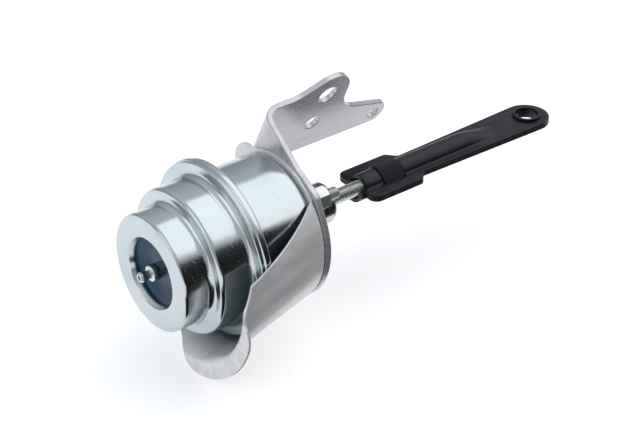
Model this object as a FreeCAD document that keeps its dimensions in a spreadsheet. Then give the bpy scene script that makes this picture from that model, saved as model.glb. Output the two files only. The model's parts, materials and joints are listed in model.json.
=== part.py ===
import FreeCAD, Part
import math
import os
import Sketcher
from types import SimpleNamespace

# Wastegate actuator. The frame's origin lies on the can's axis in the plane of its front face, where the hose
# nipple stands. +X runs along the rod to its eye and +Z is up. Sizes are in millimetres and degrees.

NEAR = 0.02

SIZES = [
    ("nipple_tip_x", -3.9, "front end of the hose nipple"),
    ("barb_x", -2.9, "back edge of the nipple's barb"),
    ("barb_r", 1.7, "barb radius"),
    ("barb_lead", 0.5, "length of the barb's taper"),
    ("neck_r", 1.33, "nipple neck radius"),
    ("nipple_bore_r", 0.8, "nipple bore radius"),
    ("nipple_base_r", 2.6, "nipple base radius"),
    ("stem_r", 1.8, "nipple stem radius, where it passes the cover"),
    ("clinch_height", 0.7, "thickness of the nipple's clinched edge"),
    ("cover_sheet", 1.0, "front cover's sheet thickness"),
    ("recess_x", 2.2, "depth of the front recess"),
    ("recess_r", 10.8, "radius of the recess floor"),
    ("recess_run", 1.2, "how far the recess wall leans out"),
    ("recess_bend", 0.8, "bend radius at the recess floor"),
    ("lip_bend", 0.8, "bend radius at the recess lip"),
    ("nose_r", 19.4, "radius of the cover's nose"),
    ("nose_bend", 1.1, "bend radius at the nose's front edge"),
    ("step_x", 10.1, "place of the cover's step"),
    ("step_width", 4.7, "width of the cover's step"),
    ("root_bend", 2.2, "bend radius where a wall turns outwards"),
    ("shoulder_bend", 1.5, "bend radius at the step's shoulder"),
    ("bead_x", 22.1, "front face of the crimped bead"),
    ("flange_width", 4.7, "width of the flange from the drum to the bead's front ridge"),
    ("ridge_step", 0.4, "how far the rear ridge stands above the front ridge"),
    ("bead_groove", 0.35, "depth of the groove between the ridges"),
    ("bead_bend", 0.7, "rounding of the bead's ridges"),
    ("ridge_width", 0.8, "width of the front ridge"),
    ("lip_width", 2.4, "width of the rolled lip"),
    ("lip_sheet", 0.9, "thickness of the rolled lip"),
    ("can_sheet", 1.0, "rear can's sheet thickness"),
    ("can_inset", 0.5, "how much smaller the rear can is than the drum"),
    ("flange_inset", 0.8, "how far the rear can's flange lies inside the front ridge"),
    ("can_bend", 1.8, "rounding of the rear can's back edge"),
    ("can_root_bend", 1.3, "bend radius at the rear can's flange"),
    ("can_length", 26.0, "length from the bead's front face to the can's rear face"),
    ("rubber", 0.8, "diaphragm thickness"),
    ("rim_rubber", 1.0, "thickness of the diaphragm's clamped edge"),
    ("roll_depth", 6.4, "depth of the diaphragm's roll behind the bead's front face"),
    ("roll_width", 3.1, "width of the roll"),
    ("roll_gap", 0.4, "gap between the diaphragm and the rear can's wall"),
    ("cup_gap", 0.3, "gap between the diaphragm and the piston cup's skirt"),
    ("crown_gap", 0.4, "gap between the diaphragm's crown and the cover"),
    ("cup_sheet", 1.0, "piston cup's sheet thickness"),
    ("cup_bend", 1.5, "rounding of the piston cup's front edge"),
    ("cup_length", 13.7, "length of the piston cup"),
    ("retainer_r", 14.0, "radius of the diaphragm's retainer"),
    ("retainer_sheet", 1.2, "thickness of the retainer"),
    ("spring_wire", 2.6, "return spring's wire"),
    ("spring_mean_r", 14.0, "return spring's mean radius"),
    ("spring_turns", 5.5, "turns of the return spring"),
    ("rod_r", 2.5, "rod radius, M5"),
    ("rod_reach", 44.0, "how far the rod reaches into the rod end"),
    ("spigot_r", 2.0, "radius of the rod's riveted spigot"),
    ("rivet_r", 3.2, "radius of the rod's rivet head"),
    ("rivet_height", 1.0, "height of the rivet head"),
    ("rod_flange_r", 4.0, "radius of the rod's flange behind the cup"),
    ("rod_flange_width", 2.0, "width of the rod's flange"),
    ("rod_chamfer", 0.6, "chamfer at the rod's outer end"),
    ("boss_r", 7.0, "radius of the rod guide's boss"),
    ("boss_length", 20.6, "length of the boss behind the can"),
    ("boss_bend", 1.5, "rounding of the boss's end"),
    ("boss_neck_r", 5.0, "radius of the guide where it passes the can"),
    ("boss_flare_r", 6.8, "radius of the guide's edge inside the can"),
    ("flare_height", 1.0, "thickness of that edge"),
    ("bush_r", 3.6, "outer radius of the guide bush"),
    ("bush_length", 19.0, "length of the guide bush"),
    ("rod_play", 0.05, "running gap round the rod"),
    ("seal_r", 4.6, "radius of the seal's seat in the boss"),
    ("seal_seat", 2.0, "depth of the seal's seat"),
    ("seal_width", 1.7, "width of the rod seal"),
    ("seal_play", 0.08, "gap between the seal and the rod"),
    ("slip", 0.05, "gap round pieces that pass through a hole"),
    ("stud_r", 2.0, "stud radius, M4"),
    ("stud_inset", 3.8, "distance of the studs inside the rear can's wall"),
    ("stud_angle", 138.0, "angle of the upper stud, from +Y towards +Z"),
    ("stud_head_r", 2.5, "radius of the stud's head inside the can"),
    ("stud_head_height", 1.0, "height of the stud's head"),
    ("stud_reach", 10.6, "length of the studs behind the bracket"),
    ("stud_chamfer", 0.5, "chamfer at the stud's end"),
    ("stud_hole_gap", 0.25, "gap between stud and hole in the shield and the bracket"),
    ("nut_flange_r", 5.0, "radius of the nut's flange"),
    ("nut_flange_height", 1.3, "height of the nut's flange"),
    ("nut_flats", 7.0, "width across the nut's flats"),
    ("nut_height", 6.0, "height of the nut"),
    ("nut_lead", 0.58, "slope of the chamfer on the nut's corners"),
    ("shield_sheet", 0.8, "heat shield's sheet thickness"),
    ("shield_angle", -42.0, "turn of the heat shield about the axis"),
    ("boss_hole_gap", 0.6, "gap between the boss and the holes round it"),
    ("shield_gap", 1.7, "how far the shield stands out from the can's wall at its back"),
    ("shield_slope", 0.21, "radius gained by the shield for each millimetre towards the front"),
    ("shield_bend", 2.0, "bend radius at the shield's back"),
    ("shield_depth", 38.7, "depth of the shield from its back to the lip"),
    ("shield_lip_width", 5.5, "width of the lip"),
    ("shield_flare", 2.5, "bend radius of the flare"),
    ("shield_edge_start", 4.8, "distance of the side edge's front end from the lip"),
    ("shield_edge_z", 17.3, "how far the side edge lies below the axis there"),
    ("shield_edge_curve", 96.0, "radius of the side edge"),
    ("shield_front_drop", 22.0, "where the side edge runs out at the lip"),
    ("shield_lip_half", 22.2, "half width of the lip"),
    ("shield_lip_lean", 1.1, "how fast the lip widens towards the back"),
    ("shield_corner", 7.0, "rounding of the lip's corners"),
    ("ear_reach", 2.5, "how far the shield's ear stands out"),
    ("ear_half", 8.0, "half width of the ear"),
    ("bracket_sheet", 2.0, "bracket's plate thickness"),
    ("bracket_angle", 26.3, "turn of the bracket about the axis"),
    ("base_r", 25.5, "radius of the bracket's base"),
    ("base_left_angle", 129.2, "angle at which the base's upper edge leaves the circle"),
    ("base_peak_y", -9.4, "left corner of the base's upper edge, across"),
    ("base_peak_drop", 0.4, "and below the top of the circle"),
    ("base_mid_y", 2.1, "turn of the base's upper edge, across"),
    ("base_mid_rise", 0.3, "and above the top of the circle"),
    ("base_corner", 6.0, "rounding of the base's upper corners"),
    ("bend_y", 17.4, "where the bracket's bend starts"),
    ("bend_r", 4.6, "bracket's inner bend radius"),
    ("arm_low_z", -1.1, "lower edge of the arm"),
    ("root_rise", 3.8, "height of the arm's upper edge at the bend above the top of the circle"),
    ("relief", 2.0, "width of the relief cut below the bend"),
    ("arm_length", 57.7, "length of the arm behind the base"),
    ("tip_height", 8.6, "height of the arm's tip"),
    ("tip_corner", 4.5, "rounding of the tip"),
    ("lobe_reach", 34.0, "distance of the upper lobe's rear side from the base"),
    ("lobe_foot", 16.66, "height over the arm's lower edge where the lobe meets the tip's edge"),
    ("lobe_hollow", 11.0, "hollow between the lobe and the tip"),
    ("lobe_rise", 5.5, "height of the upper lobe above the arm's edge at the bend"),
    ("lobe_width", 10.3, "length of the lobe's straight top before rounding"),
    ("lobe_corner", 8.3, "rounding of the upper lobe"),
    ("lobe_front_corner", 7.5, "rounding at the front end of the lobe's top"),
    ("saddle_reach", 12.8, "distance of the low point of the arm's upper edge from the base"),
    ("saddle_rise", 0.3, "height of that point above the arm's edge at the bend"),
    ("saddle_corner", 10.0, "rounding there"),
    ("arm_hole_inset", 8.6, "distance of the main hole from the lobe's rear side and top"),
    ("arm_hole_r", 3.5, "radius of the main hole"),
    ("mid_hole_reach", 23.6, "distance of the middle hole from the base"),
    ("mid_hole_height", 13.7, "and from the arm's lower edge"),
    ("mid_hole_r", 2.75, "radius of the middle hole"),
    ("tip_hole_inset", 5.0, "distance of the tip hole from the tip's end and lower edge"),
    ("tip_hole_r", 2.3, "radius of the tip hole"),
    ("stamp", 1.1, "rod end's sheet thickness"),
    ("pipe_r", 4.4, "outer radius of the rod end's pressed pipe"),
    ("mouth_gap", 11.3, "distance of the lower half's mouth from the boss"),
    ("mouth_setback", 3.0, "how far the upper half's mouth is set back"),
    ("wide_setback", 1.5, "how far the plates' front edge is set back"),
    ("wide_half", 10.2, "half width of the wide part"),
    ("wide_length", 19.5, "length of the wide part"),
    ("wide_corner", 3.0, "rounding of its corners"),
    ("neck_taper", 3.5, "length of the taper to the narrow part"),
    ("neck_half", 6.6, "half width of the narrow part"),
    ("neck_corner", 2.0, "rounding between wide and narrow part"),
    ("window_setback", 9.7, "distance of the window from the mouth"),
    ("window_length", 9.6, "length of the window"),
    ("window_half", 5.6, "half width of the window"),
    ("pipe_spare", 5.0, "length of full pipe beyond the rod's outer end"),
    ("fade_length", 14.0, "length over which the pipe fades into the plate"),
    ("eye_reach", 16.5, "distance of the eye from the pipe's end"),
    ("eye_plate_r", 8.0, "radius of the plate round the eye"),
    ("eye_fair", 6.0, "rounding between the arm and the eye"),
    ("eye_bore_r", 4.0, "radius of the eye's bore"),
    ("eye_barrel_r", 4.4, "outer radius of the eye bush in the plates"),
    ("eye_rim_r", 5.0, "radius of the eye bush's rims"),
    ("eye_length", 4.0, "length of the eye bush"),
    ("knurl_r", 5.2, "radius of the knurled nut"),
    ("knurl_chamfer", 0.7, "chamfer of the knurled nut"),
    ("knurl_play", 0.3, "gap between the knurled nut and the window's ends"),
]


class Size:
    """A size worked out from the sheet, with the expression that ties it to the cells."""

    def __init__(self, value, text):
        self.value = value
        self.text = text

    def __add__(self, other):
        other = as_size(other)
        return Size(self.value + other.value, f"({self.text} + {other.text})")

    def __sub__(self, other):
        other = as_size(other)
        return Size(self.value - other.value, f"({self.text} - {other.text})")

    def __mul__(self, other):
        other = as_size(other)
        return Size(self.value * other.value, f"({self.text} * {other.text})")

    def __truediv__(self, other):
        other = as_size(other)
        return Size(self.value / other.value, f"({self.text} / {other.text})")

    def __radd__(self, other):
        return as_size(other) + self

    def __rsub__(self, other):
        return as_size(other) - self

    def __rmul__(self, other):
        return as_size(other) * self

    def __neg__(self):
        return Size(-self.value, f"(0 - {self.text})")


def as_size(number):
    return number if isinstance(number, Size) else Size(float(number), repr(float(number)))


def root(size):
    return Size(math.sqrt(size.value), f"sqrt({size.text})")


def cosine(angle):
    angle = as_size(angle)
    return Size(math.cos(math.radians(angle.value)), f"cos({angle.text})")


def sine(angle):
    angle = as_size(angle)
    return Size(math.sin(math.radians(angle.value)), f"sin({angle.text})")


def fill_sheet(doc):
    """Write the driving dimensions to the sheet and return them as sizes."""
    sheet = doc.addObject("Spreadsheet::Sheet", "Sizes")
    for row, (name, value, meaning) in enumerate(SIZES, 1):
        sheet.set(f"A{row}", name)
        sheet.set(f"B{row}", str(value))
        sheet.setAlias(f"B{row}", name)
        sheet.set(f"C{row}", meaning)
    doc.recompute()
    return SimpleNamespace(**{name: Size(float(sheet.get(name)), "Sizes." + name) for name, value, meaning in SIZES})


def lay_out(d):
    """Work out the places and radii that follow from the sizes, along the axis and outwards."""
    d.drum_r = d.nose_r + d.step_width
    d.bead_front_r = d.drum_r + d.flange_width
    d.bead_r = d.bead_front_r + d.ridge_step
    d.lip_reach = d.bead_r - d.lip_width
    d.can_r = d.drum_r - d.can_inset
    d.can_flange_r = d.bead_front_r - d.flange_inset
    d.cup_r = d.can_r - d.can_sheet - d.roll_gap - d.roll_width - d.cup_gap
    d.stud_pitch_r = d.can_r - d.stud_inset
    d.shield_disc_r = d.can_r + d.shield_gap
    d.ear_r = d.shield_disc_r + d.ear_reach
    d.roll_x = d.bead_x + d.roll_depth
    d.cup_x = d.step_x + d.cover_sheet + d.crown_gap + d.rubber
    d.cup_end_x = d.cup_x + d.cup_length
    d.can_back_x = d.bead_x + d.can_length
    d.base_x = d.can_back_x + d.shield_sheet
    d.base_back_x = d.base_x + d.bracket_sheet
    d.stud_end_x = d.base_back_x + d.stud_reach
    d.boss_x = d.can_back_x + d.boss_length
    lay_out_shield(d)
    lay_out_bracket(d)
    lay_out_rod_end(d)


def lay_out_shield(d):
    d.shield_lip_x = d.base_x - d.shield_depth
    d.shield_edge_x = d.shield_lip_x + d.shield_edge_start
    d.shield_lip_r = shield_r(d, d.shield_lip_x + d.shield_sheet) + d.shield_lip_width


def lay_out_bracket(d):
    d.base_left_y = d.base_r * cosine(d.base_left_angle)
    d.base_left_z = d.base_r * sine(d.base_left_angle)
    d.base_peak_z = d.base_r - d.base_peak_drop
    d.base_mid_z = d.base_r + d.base_mid_rise
    d.arm_root_z = d.base_r + d.root_rise
    d.tip_x = d.base_back_x + d.arm_length
    d.tip_z = d.arm_low_z + d.tip_height
    d.lobe_x = d.base_back_x + d.lobe_reach
    d.lobe_foot_z = d.arm_low_z + d.lobe_foot
    d.lobe_top_z = d.arm_root_z + d.lobe_rise
    d.lobe_front_x = d.lobe_x - d.lobe_width
    d.saddle_x = d.base_back_x + d.saddle_reach
    d.saddle_z = d.arm_root_z + d.saddle_rise
    d.arm_hole_x = d.lobe_x - d.arm_hole_inset
    d.arm_hole_z = d.lobe_top_z - d.arm_hole_inset
    d.mid_hole_x = d.base_back_x + d.mid_hole_reach
    d.mid_hole_z = d.arm_low_z + d.mid_hole_height
    d.tip_hole_x = d.tip_x - d.tip_hole_inset
    d.tip_hole_z = d.arm_low_z + d.tip_hole_inset


def lay_out_rod_end(d):
    d.mouth_x = d.boss_x + d.mouth_gap
    d.mouth_upper_x = d.mouth_x + d.mouth_setback
    d.wide_x = d.mouth_x + d.wide_setback
    d.wide_end_x = d.wide_x + d.wide_length
    d.neck_x = d.wide_end_x + d.neck_taper
    d.window_x = d.mouth_x + d.window_setback
    d.window_end_x = d.window_x + d.window_length
    d.rod_end_x = d.mouth_x + d.rod_reach
    d.pipe_end_x = d.rod_end_x + d.pipe_spare
    d.fade_end_x = d.pipe_end_x + d.fade_length
    d.eye_x = d.fade_end_x + d.eye_reach


# Sketches


def new_sketch(body, name, role, offset=None):
    """A sketch on one of the body's origin planes, moved along the plane's normal by offset."""
    sketch = body.newObject("Sketcher::SketchObject", name)
    plane = next(item for item in body.Origin.OriginFeatures if item.Role == role)
    sketch.AttachmentSupport = (plane, [""])
    sketch.MapMode = "FlatFace"
    if offset is not None:
        sketch.setExpression(".AttachmentOffset.Base.z", offset.text)
    return sketch


def hold(sketch, kind, places, size):
    """Tie one coordinate of a sketch point to a size."""
    if size.text == "0.0" and kind == "DistanceY":
        sketch.addConstraint(Sketcher.Constraint("PointOnObject", *places, -1))
        return
    if size.text == "0.0" and kind == "DistanceX":
        sketch.addConstraint(Sketcher.Constraint("PointOnObject", *places, -2))
        return
    index = sketch.addConstraint(Sketcher.Constraint(kind, -1, 1, *places, size.value))
    sketch.setExpression(f"Constraints[{index}]", size.text)


def polygon(sketch, corners):
    """Add a closed outline with straight sides through the corners."""
    corners = [(as_size(x), as_size(y)) for x, y in corners]
    spots = [FreeCAD.Vector(x.value, y.value, 0) for x, y in corners]
    ring = list(range(len(corners)))
    lines = [sketch.addGeometry(Part.LineSegment(spots[i - 1], spots[i])) for i in ring]
    for i in ring:
        sketch.addConstraint(Sketcher.Constraint("Coincident", lines[i - 1], 2, lines[i], 1))
        hold(sketch, "DistanceX", (lines[i], 2), corners[i][0])
        hold(sketch, "DistanceY", (lines[i], 2), corners[i][1])


def circle(sketch, x, y, radius):
    """Add a circle at (x, y)."""
    x, y = as_size(x), as_size(y)
    ring = sketch.addGeometry(Part.Circle(FreeCAD.Vector(x.value, y.value, 0), FreeCAD.Vector(0, 0, 1), radius.value))
    hold(sketch, "DistanceX", (ring, 3), x)
    hold(sketch, "DistanceY", (ring, 3), y)
    index = sketch.addConstraint(Sketcher.Constraint("Radius", ring, radius.value))
    sketch.setExpression(f"Constraints[{index}]", radius.text)


# Features


def new_body(doc, label):
    body = doc.addObject("PartDesign::Body", label)
    body.Label = label
    return body


def turned(body, name, corners, kind="Revolution", angle=360.0, backwards=False):
    """Revolve a profile of (x, radius) corners about the X axis."""
    sketch = new_sketch(body, name + "_profile", "XY_Plane")
    polygon(sketch, corners)
    feature = body.newObject("PartDesign::" + kind, name)
    feature.Profile = sketch
    feature.ReferenceAxis = (sketch, ["H_Axis"])
    feature.Angle = angle
    feature.Reversed = backwards
    body.Tip = feature
    return feature


def padded(body, name, sketch, length, backwards=False):
    pad = body.newObject("PartDesign::Pad", name)
    pad.Profile = sketch
    pad.setExpression("Length", length.text)
    pad.Reversed = backwards
    body.Tip = pad
    return pad


def cut_through(body, name, sketch):
    """Cut the sketch's outlines right through the body, both ways."""
    before = volume_of(body)
    pocket = body.newObject("PartDesign::Pocket", name)
    pocket.Profile = sketch
    pocket.Type = "ThroughAll"
    pocket.SideType = "Symmetric"
    body.Tip = pocket
    if not volume_of(body) < before - NEAR:
        raise ValueError(f"{body.Label}: {name} cuts nothing")


def volume_of(body):
    body.Document.recompute()
    return body.Shape.Volume


def rounded(body, name, picked, radius):
    """Round the edges of the body's tip that picked returns."""
    body.Document.recompute()
    base = body.Tip
    names = [f"Edge{number}" for number, edge in enumerate(base.Shape.Edges, 1) if picked(edge)]
    if not names:
        raise ValueError(f"{body.Label}: no edge for {name}")
    fillet = body.newObject("PartDesign::Fillet", name)
    fillet.Base = (base, names)
    fillet.setExpression("Radius", as_size(radius).text)
    body.Tip = fillet


def rings(*places):
    """Picks full round edges about the X axis at the given (x, radius) places."""

    def picked(edge):
        if not isinstance(edge.Curve, Part.Circle):
            return False
        middle = edge.Curve.Center
        return any(
            abs(middle.x - as_size(x).value) < NEAR and abs(edge.Curve.Radius - as_size(radius).value) < NEAR
            for x, radius in places
        )

    return picked


def straight_edges(axes, *places):
    """Picks straight edges that stand on the two named axes at the given places, such as "xz"."""

    def picked(edge):
        if not isinstance(edge.Curve, Part.Line):
            return False
        ends = [vertex.Point for vertex in edge.Vertexes]
        return any(
            all(
                abs(getattr(end, axis) - as_size(value).value) < NEAR
                for end in ends
                for axis, value in zip(axes, place)
            )
            for place in places
        )

    return picked


def turn_about_axis(body, angle):
    body.setExpression(".Placement.Rotation.Angle", angle.text)
    body.Placement = FreeCAD.Placement(FreeCAD.Vector(), FreeCAD.Rotation(FreeCAD.Vector(1, 0, 0), angle.value))


# Can


def make_front_cover(doc, d):
    body = new_body(doc, "front_cover")
    lean = d.recess_run / d.recess_x
    shift = d.cover_sheet * (root(lean * lean + 1) - lean)
    inner_drum_r = d.drum_r - d.cover_sheet
    inner_nose_r = d.nose_r - d.cover_sheet
    inner_bead_x = d.bead_x + d.cover_sheet
    groove_x = d.bead_x + d.ridge_width
    lip_x = inner_bead_x + d.rim_rubber + d.can_sheet
    turned(
        body,
        "shell",
        [
            (d.recess_x, d.stem_r + d.slip),
            (d.recess_x, d.recess_r),
            (0, d.recess_r + d.recess_run),
            (0, d.nose_r),
            (d.step_x, d.nose_r),
            (d.step_x, d.drum_r),
            (d.bead_x, d.drum_r),
            (d.bead_x, d.bead_front_r),
            (groove_x, d.bead_front_r),
            (groove_x + d.bead_groove, d.bead_front_r - d.bead_groove),
            (groove_x + d.bead_groove, d.bead_r),
            (lip_x + d.lip_sheet, d.bead_r),
            (lip_x + d.lip_sheet, d.lip_reach),
            (lip_x, d.lip_reach),
            (lip_x, d.can_flange_r + d.slip),
            (inner_bead_x, d.can_flange_r + d.slip),
            (inner_bead_x, inner_drum_r),
            (d.step_x + d.cover_sheet, inner_drum_r),
            (d.step_x + d.cover_sheet, inner_nose_r),
            (d.cover_sheet, inner_nose_r),
            (d.cover_sheet, d.recess_r + d.recess_run + shift),
            (d.recess_x + d.cover_sheet, d.recess_r + shift),
            (d.recess_x + d.cover_sheet, d.stem_r + d.slip),
        ],
    )
    rounded(body, "recess_rounding", rings((d.recess_x, d.recess_r)), d.recess_bend)
    rounded(body, "recess_back", rings((d.recess_x + d.cover_sheet, d.recess_r + shift)), d.recess_bend + d.cover_sheet)
    rounded(body, "lip_rounding", rings((0, d.recess_r + d.recess_run)), d.lip_bend)
    rounded(body, "nose_rounding", rings((0, d.nose_r)), d.nose_bend)
    rounded(body, "root_rounding", rings((d.step_x, d.nose_r), (d.bead_x, d.drum_r)), d.root_bend)
    rounded(
        body,
        "root_back",
        rings((d.step_x + d.cover_sheet, inner_nose_r), (inner_bead_x, inner_drum_r)),
        d.root_bend + d.cover_sheet,
    )
    rounded(body, "shoulder_rounding", rings((d.step_x, d.drum_r)), d.shoulder_bend)
    rounded(
        body,
        "shoulder_back",
        rings((d.step_x + d.cover_sheet, inner_drum_r)),
        d.shoulder_bend - d.cover_sheet,
    )
    rounded(
        body,
        "bead_rounding",
        rings((d.bead_x, d.bead_front_r), (lip_x + d.lip_sheet, d.bead_r)),
        d.bead_bend,
    )


def make_hose_nipple(doc, d):
    body = new_body(doc, "hose_nipple")
    floor_x = d.recess_x + d.cover_sheet
    turned(
        body,
        "nipple",
        [
            (d.nipple_tip_x, d.nipple_bore_r),
            (d.nipple_tip_x, d.neck_r),
            (d.nipple_tip_x + d.barb_lead, d.barb_r),
            (d.barb_x, d.barb_r),
            (d.barb_x, d.neck_r),
            (0, d.neck_r),
            (0, d.nipple_base_r),
            (d.recess_x, d.nipple_base_r),
            (d.recess_x, d.stem_r),
            (floor_x, d.stem_r),
            (floor_x, d.nipple_base_r),
            (floor_x + d.clinch_height, d.nipple_base_r),
            (floor_x + d.clinch_height, d.nipple_bore_r),
        ],
    )


def make_rear_can(doc, d):
    body = new_body(doc, "rear_can")
    flange_x = d.bead_x + d.cover_sheet + d.rim_rubber
    inner_x = d.can_back_x - d.can_sheet
    inner_r = d.can_r - d.can_sheet
    turned(
        body,
        "shell",
        [
            (flange_x, d.can_flange_r),
            (flange_x + d.can_sheet, d.can_flange_r),
            (flange_x + d.can_sheet, d.can_r),
            (d.can_back_x, d.can_r),
            (d.can_back_x, d.boss_neck_r + d.slip),
            (inner_x, d.boss_neck_r + d.slip),
            (inner_x, inner_r),
            (flange_x, inner_r),
        ],
    )
    rounded(body, "root_rounding", rings((flange_x + d.can_sheet, d.can_r)), d.can_root_bend)
    rounded(body, "root_back", rings((flange_x, inner_r)), d.can_root_bend + d.can_sheet)
    rounded(body, "back_rounding", rings((d.can_back_x, d.can_r)), d.can_bend)
    rounded(body, "back_inside", rings((inner_x, inner_r)), d.can_bend - d.can_sheet)
    holes = new_sketch(body, "stud_places", "YZ_Plane")
    for turn in (0, 180):
        y, z = stud_place(d, d.stud_angle + turn)
        circle(holes, y, z, d.stud_r + d.slip)
    cut_through(body, "stud_holes", holes)


def stud_place(d, angle):
    return d.stud_pitch_r * cosine(angle), d.stud_pitch_r * sine(angle)


# Inside the can


def make_diaphragm(doc, d):
    body = new_body(doc, "diaphragm")
    rim_x = d.bead_x + d.cover_sheet
    outer_r = d.can_r - d.can_sheet - d.roll_gap
    inner_r = d.cup_r + d.cup_gap
    front_x = d.cup_x - d.rubber
    turned(
        body,
        "rubber",
        [
            (rim_x, d.can_flange_r),
            (rim_x + d.rim_rubber, d.can_flange_r),
            (rim_x + d.rim_rubber, outer_r),
            (d.roll_x, outer_r),
            (d.roll_x, inner_r),
            (d.cup_x, inner_r),
            (d.cup_x, d.spigot_r + d.slip),
            (front_x, d.spigot_r + d.slip),
            (front_x, inner_r + d.rubber),
            (d.roll_x - d.rubber, inner_r + d.rubber),
            (d.roll_x - d.rubber, outer_r - d.rubber),
            (rim_x, outer_r - d.rubber),
        ],
    )
    roll = (outer_r - inner_r) * 0.45
    rounded(body, "roll_rounding", rings((d.roll_x, outer_r), (d.roll_x, inner_r)), roll)
    rounded(body, "edge_rounding", rings((front_x, inner_r + d.rubber), (rim_x, outer_r - d.rubber)), d.cup_bend)


def make_piston_cup(doc, d):
    body = new_body(doc, "piston_cup")
    inner_x = d.cup_x + d.cup_sheet
    inner_r = d.cup_r - d.cup_sheet
    turned(
        body,
        "shell",
        [
            (d.cup_x, d.spigot_r + d.slip),
            (d.cup_x, d.cup_r),
            (d.cup_end_x, d.cup_r),
            (d.cup_end_x, inner_r),
            (inner_x, inner_r),
            (inner_x, d.spigot_r + d.slip),
        ],
    )
    rounded(body, "edge_rounding", rings((d.cup_x, d.cup_r)), d.cup_bend)
    rounded(body, "edge_inside", rings((inner_x, inner_r)), d.cup_bend - d.cup_sheet)


def make_diaphragm_retainer(doc, d):
    body = new_body(doc, "diaphragm_retainer")
    back_x = d.cup_x - d.rubber
    turned(
        body,
        "washer",
        [
            (back_x - d.retainer_sheet, d.spigot_r + d.slip),
            (back_x - d.retainer_sheet, d.retainer_r),
            (back_x, d.retainer_r),
            (back_x, d.spigot_r + d.slip),
        ],
    )


def make_return_spring(doc, d):
    body = new_body(doc, "return_spring")
    wire_r = d.spring_wire / 2
    seat_x = d.cup_x + d.cup_sheet
    length = d.can_back_x - d.can_sheet - seat_x
    section = new_sketch(body, "wire_section", "XY_Plane")
    circle(section, seat_x + wire_r, d.spring_mean_r, wire_r)
    coil = body.newObject("PartDesign::AdditiveHelix", "coil")
    coil.Profile = section
    coil.ReferenceAxis = (section, ["H_Axis"])
    coil.Mode = "height-turns-angle"
    coil.setExpression("Height", (length - d.spring_wire).text)
    coil.setExpression("Turns", d.spring_turns.text)
    body.Tip = coil


# Rod and its guide


def make_actuator_rod(doc, d):
    body = new_body(doc, "actuator_rod")
    rivet_x = d.cup_x - d.rubber - d.retainer_sheet
    seat_x = d.cup_x + d.cup_sheet
    turned(
        body,
        "rod",
        [
            (rivet_x - d.rivet_height, 0),
            (rivet_x - d.rivet_height, d.rivet_r),
            (rivet_x, d.rivet_r),
            (rivet_x, d.spigot_r),
            (seat_x, d.spigot_r),
            (seat_x, d.rod_flange_r),
            (seat_x + d.rod_flange_width, d.rod_flange_r),
            (seat_x + d.rod_flange_width, d.rod_r),
            (d.rod_end_x - d.rod_chamfer, d.rod_r),
            (d.rod_end_x, d.rod_r - d.rod_chamfer),
            (d.rod_end_x, 0),
        ],
    )


def make_rod_guide(doc, d):
    body = new_body(doc, "rod_guide")
    inner_x = d.can_back_x - d.can_sheet
    seat_x = d.boss_x - d.seal_seat
    turned(
        body,
        "boss",
        [
            (inner_x - d.flare_height, d.bush_r),
            (inner_x - d.flare_height, d.boss_flare_r),
            (inner_x, d.boss_flare_r),
            (inner_x, d.boss_neck_r),
            (d.can_back_x, d.boss_neck_r),
            (d.can_back_x, d.boss_r),
            (d.boss_x, d.boss_r),
            (d.boss_x, d.seal_r),
            (seat_x, d.seal_r),
            (seat_x, d.bush_r),
        ],
    )
    rounded(body, "end_rounding", rings((d.boss_x, d.boss_r)), d.boss_bend)


def make_guide_bush(doc, d):
    body = new_body(doc, "guide_bush")
    end_x = d.boss_x - d.seal_seat
    turned(body, "bush", sleeve(end_x - d.bush_length, end_x, d.rod_r + d.rod_play, d.bush_r - d.slip / 2))


def make_rod_seal(doc, d):
    body = new_body(doc, "rod_seal")
    seat_x = d.boss_x - d.seal_seat
    turned(body, "seal", sleeve(seat_x, seat_x + d.seal_width, d.rod_r + d.seal_play, d.seal_r - d.slip))


def sleeve(start_x, end_x, inner_r, outer_r):
    return [(start_x, inner_r), (start_x, outer_r), (end_x, outer_r), (end_x, inner_r)]


# Studs and nuts


def at_stud(body, d, turn):
    """Stand a piece, modelled on the axis, on one of the two studs' places."""
    y, z = stud_place(d, d.stud_angle + turn)
    body.Placement = FreeCAD.Placement(FreeCAD.Vector(0, y.value, z.value), FreeCAD.Rotation())
    body.setExpression(".Placement.Base.y", y.text)
    body.setExpression(".Placement.Base.z", z.text)


def make_stud(doc, d, label, turn):
    body = new_body(doc, label)
    inner_x = d.can_back_x - d.can_sheet
    turned(
        body,
        "stud",
        [
            (inner_x - d.stud_head_height, 0),
            (inner_x - d.stud_head_height, d.stud_head_r),
            (inner_x, d.stud_head_r),
            (inner_x, d.stud_r),
            (d.stud_end_x - d.stud_chamfer, d.stud_r),
            (d.stud_end_x, d.stud_r - d.stud_chamfer),
            (d.stud_end_x, 0),
        ],
    )
    at_stud(body, d, turn)


def make_nut(doc, d, label, turn):
    body = new_body(doc, label)
    seat_x = d.base_back_x
    end_x = seat_x + d.nut_height
    corner_r = d.nut_flats / 2 / cosine(30)
    outline = new_sketch(body, "hexagon", "YZ_Plane", seat_x)
    polygon(outline, [(corner_r * cosine(60 * i), corner_r * sine(60 * i)) for i in range(6)])
    padded(body, "hexagon_pad", outline, d.nut_height)
    flange = new_sketch(body, "flange", "YZ_Plane", seat_x)
    circle(flange, 0, 0, d.nut_flange_r)
    padded(body, "flange_pad", flange, d.nut_flange_height)
    reach = d.nut_flange_r
    turned(
        body,
        "corner_chamfer",
        [
            (end_x, d.nut_flats / 2),
            (end_x, reach),
            (end_x - (reach - d.nut_flats / 2) * d.nut_lead, reach),
        ],
        "Groove",
    )
    bore = new_sketch(body, "bore", "YZ_Plane")
    circle(bore, 0, 0, d.stud_r + d.slip)
    cut_through(body, "bore_cut", bore)
    at_stud(body, d, turn)


# Heat shield: a scoop under the can, modelled with the scoop towards -Z and turned about the axis


def shield_r(d, x):
    """Outer radius of the shield's cone at x."""
    return d.shield_disc_r + (d.base_x - x) * d.shield_slope


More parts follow.
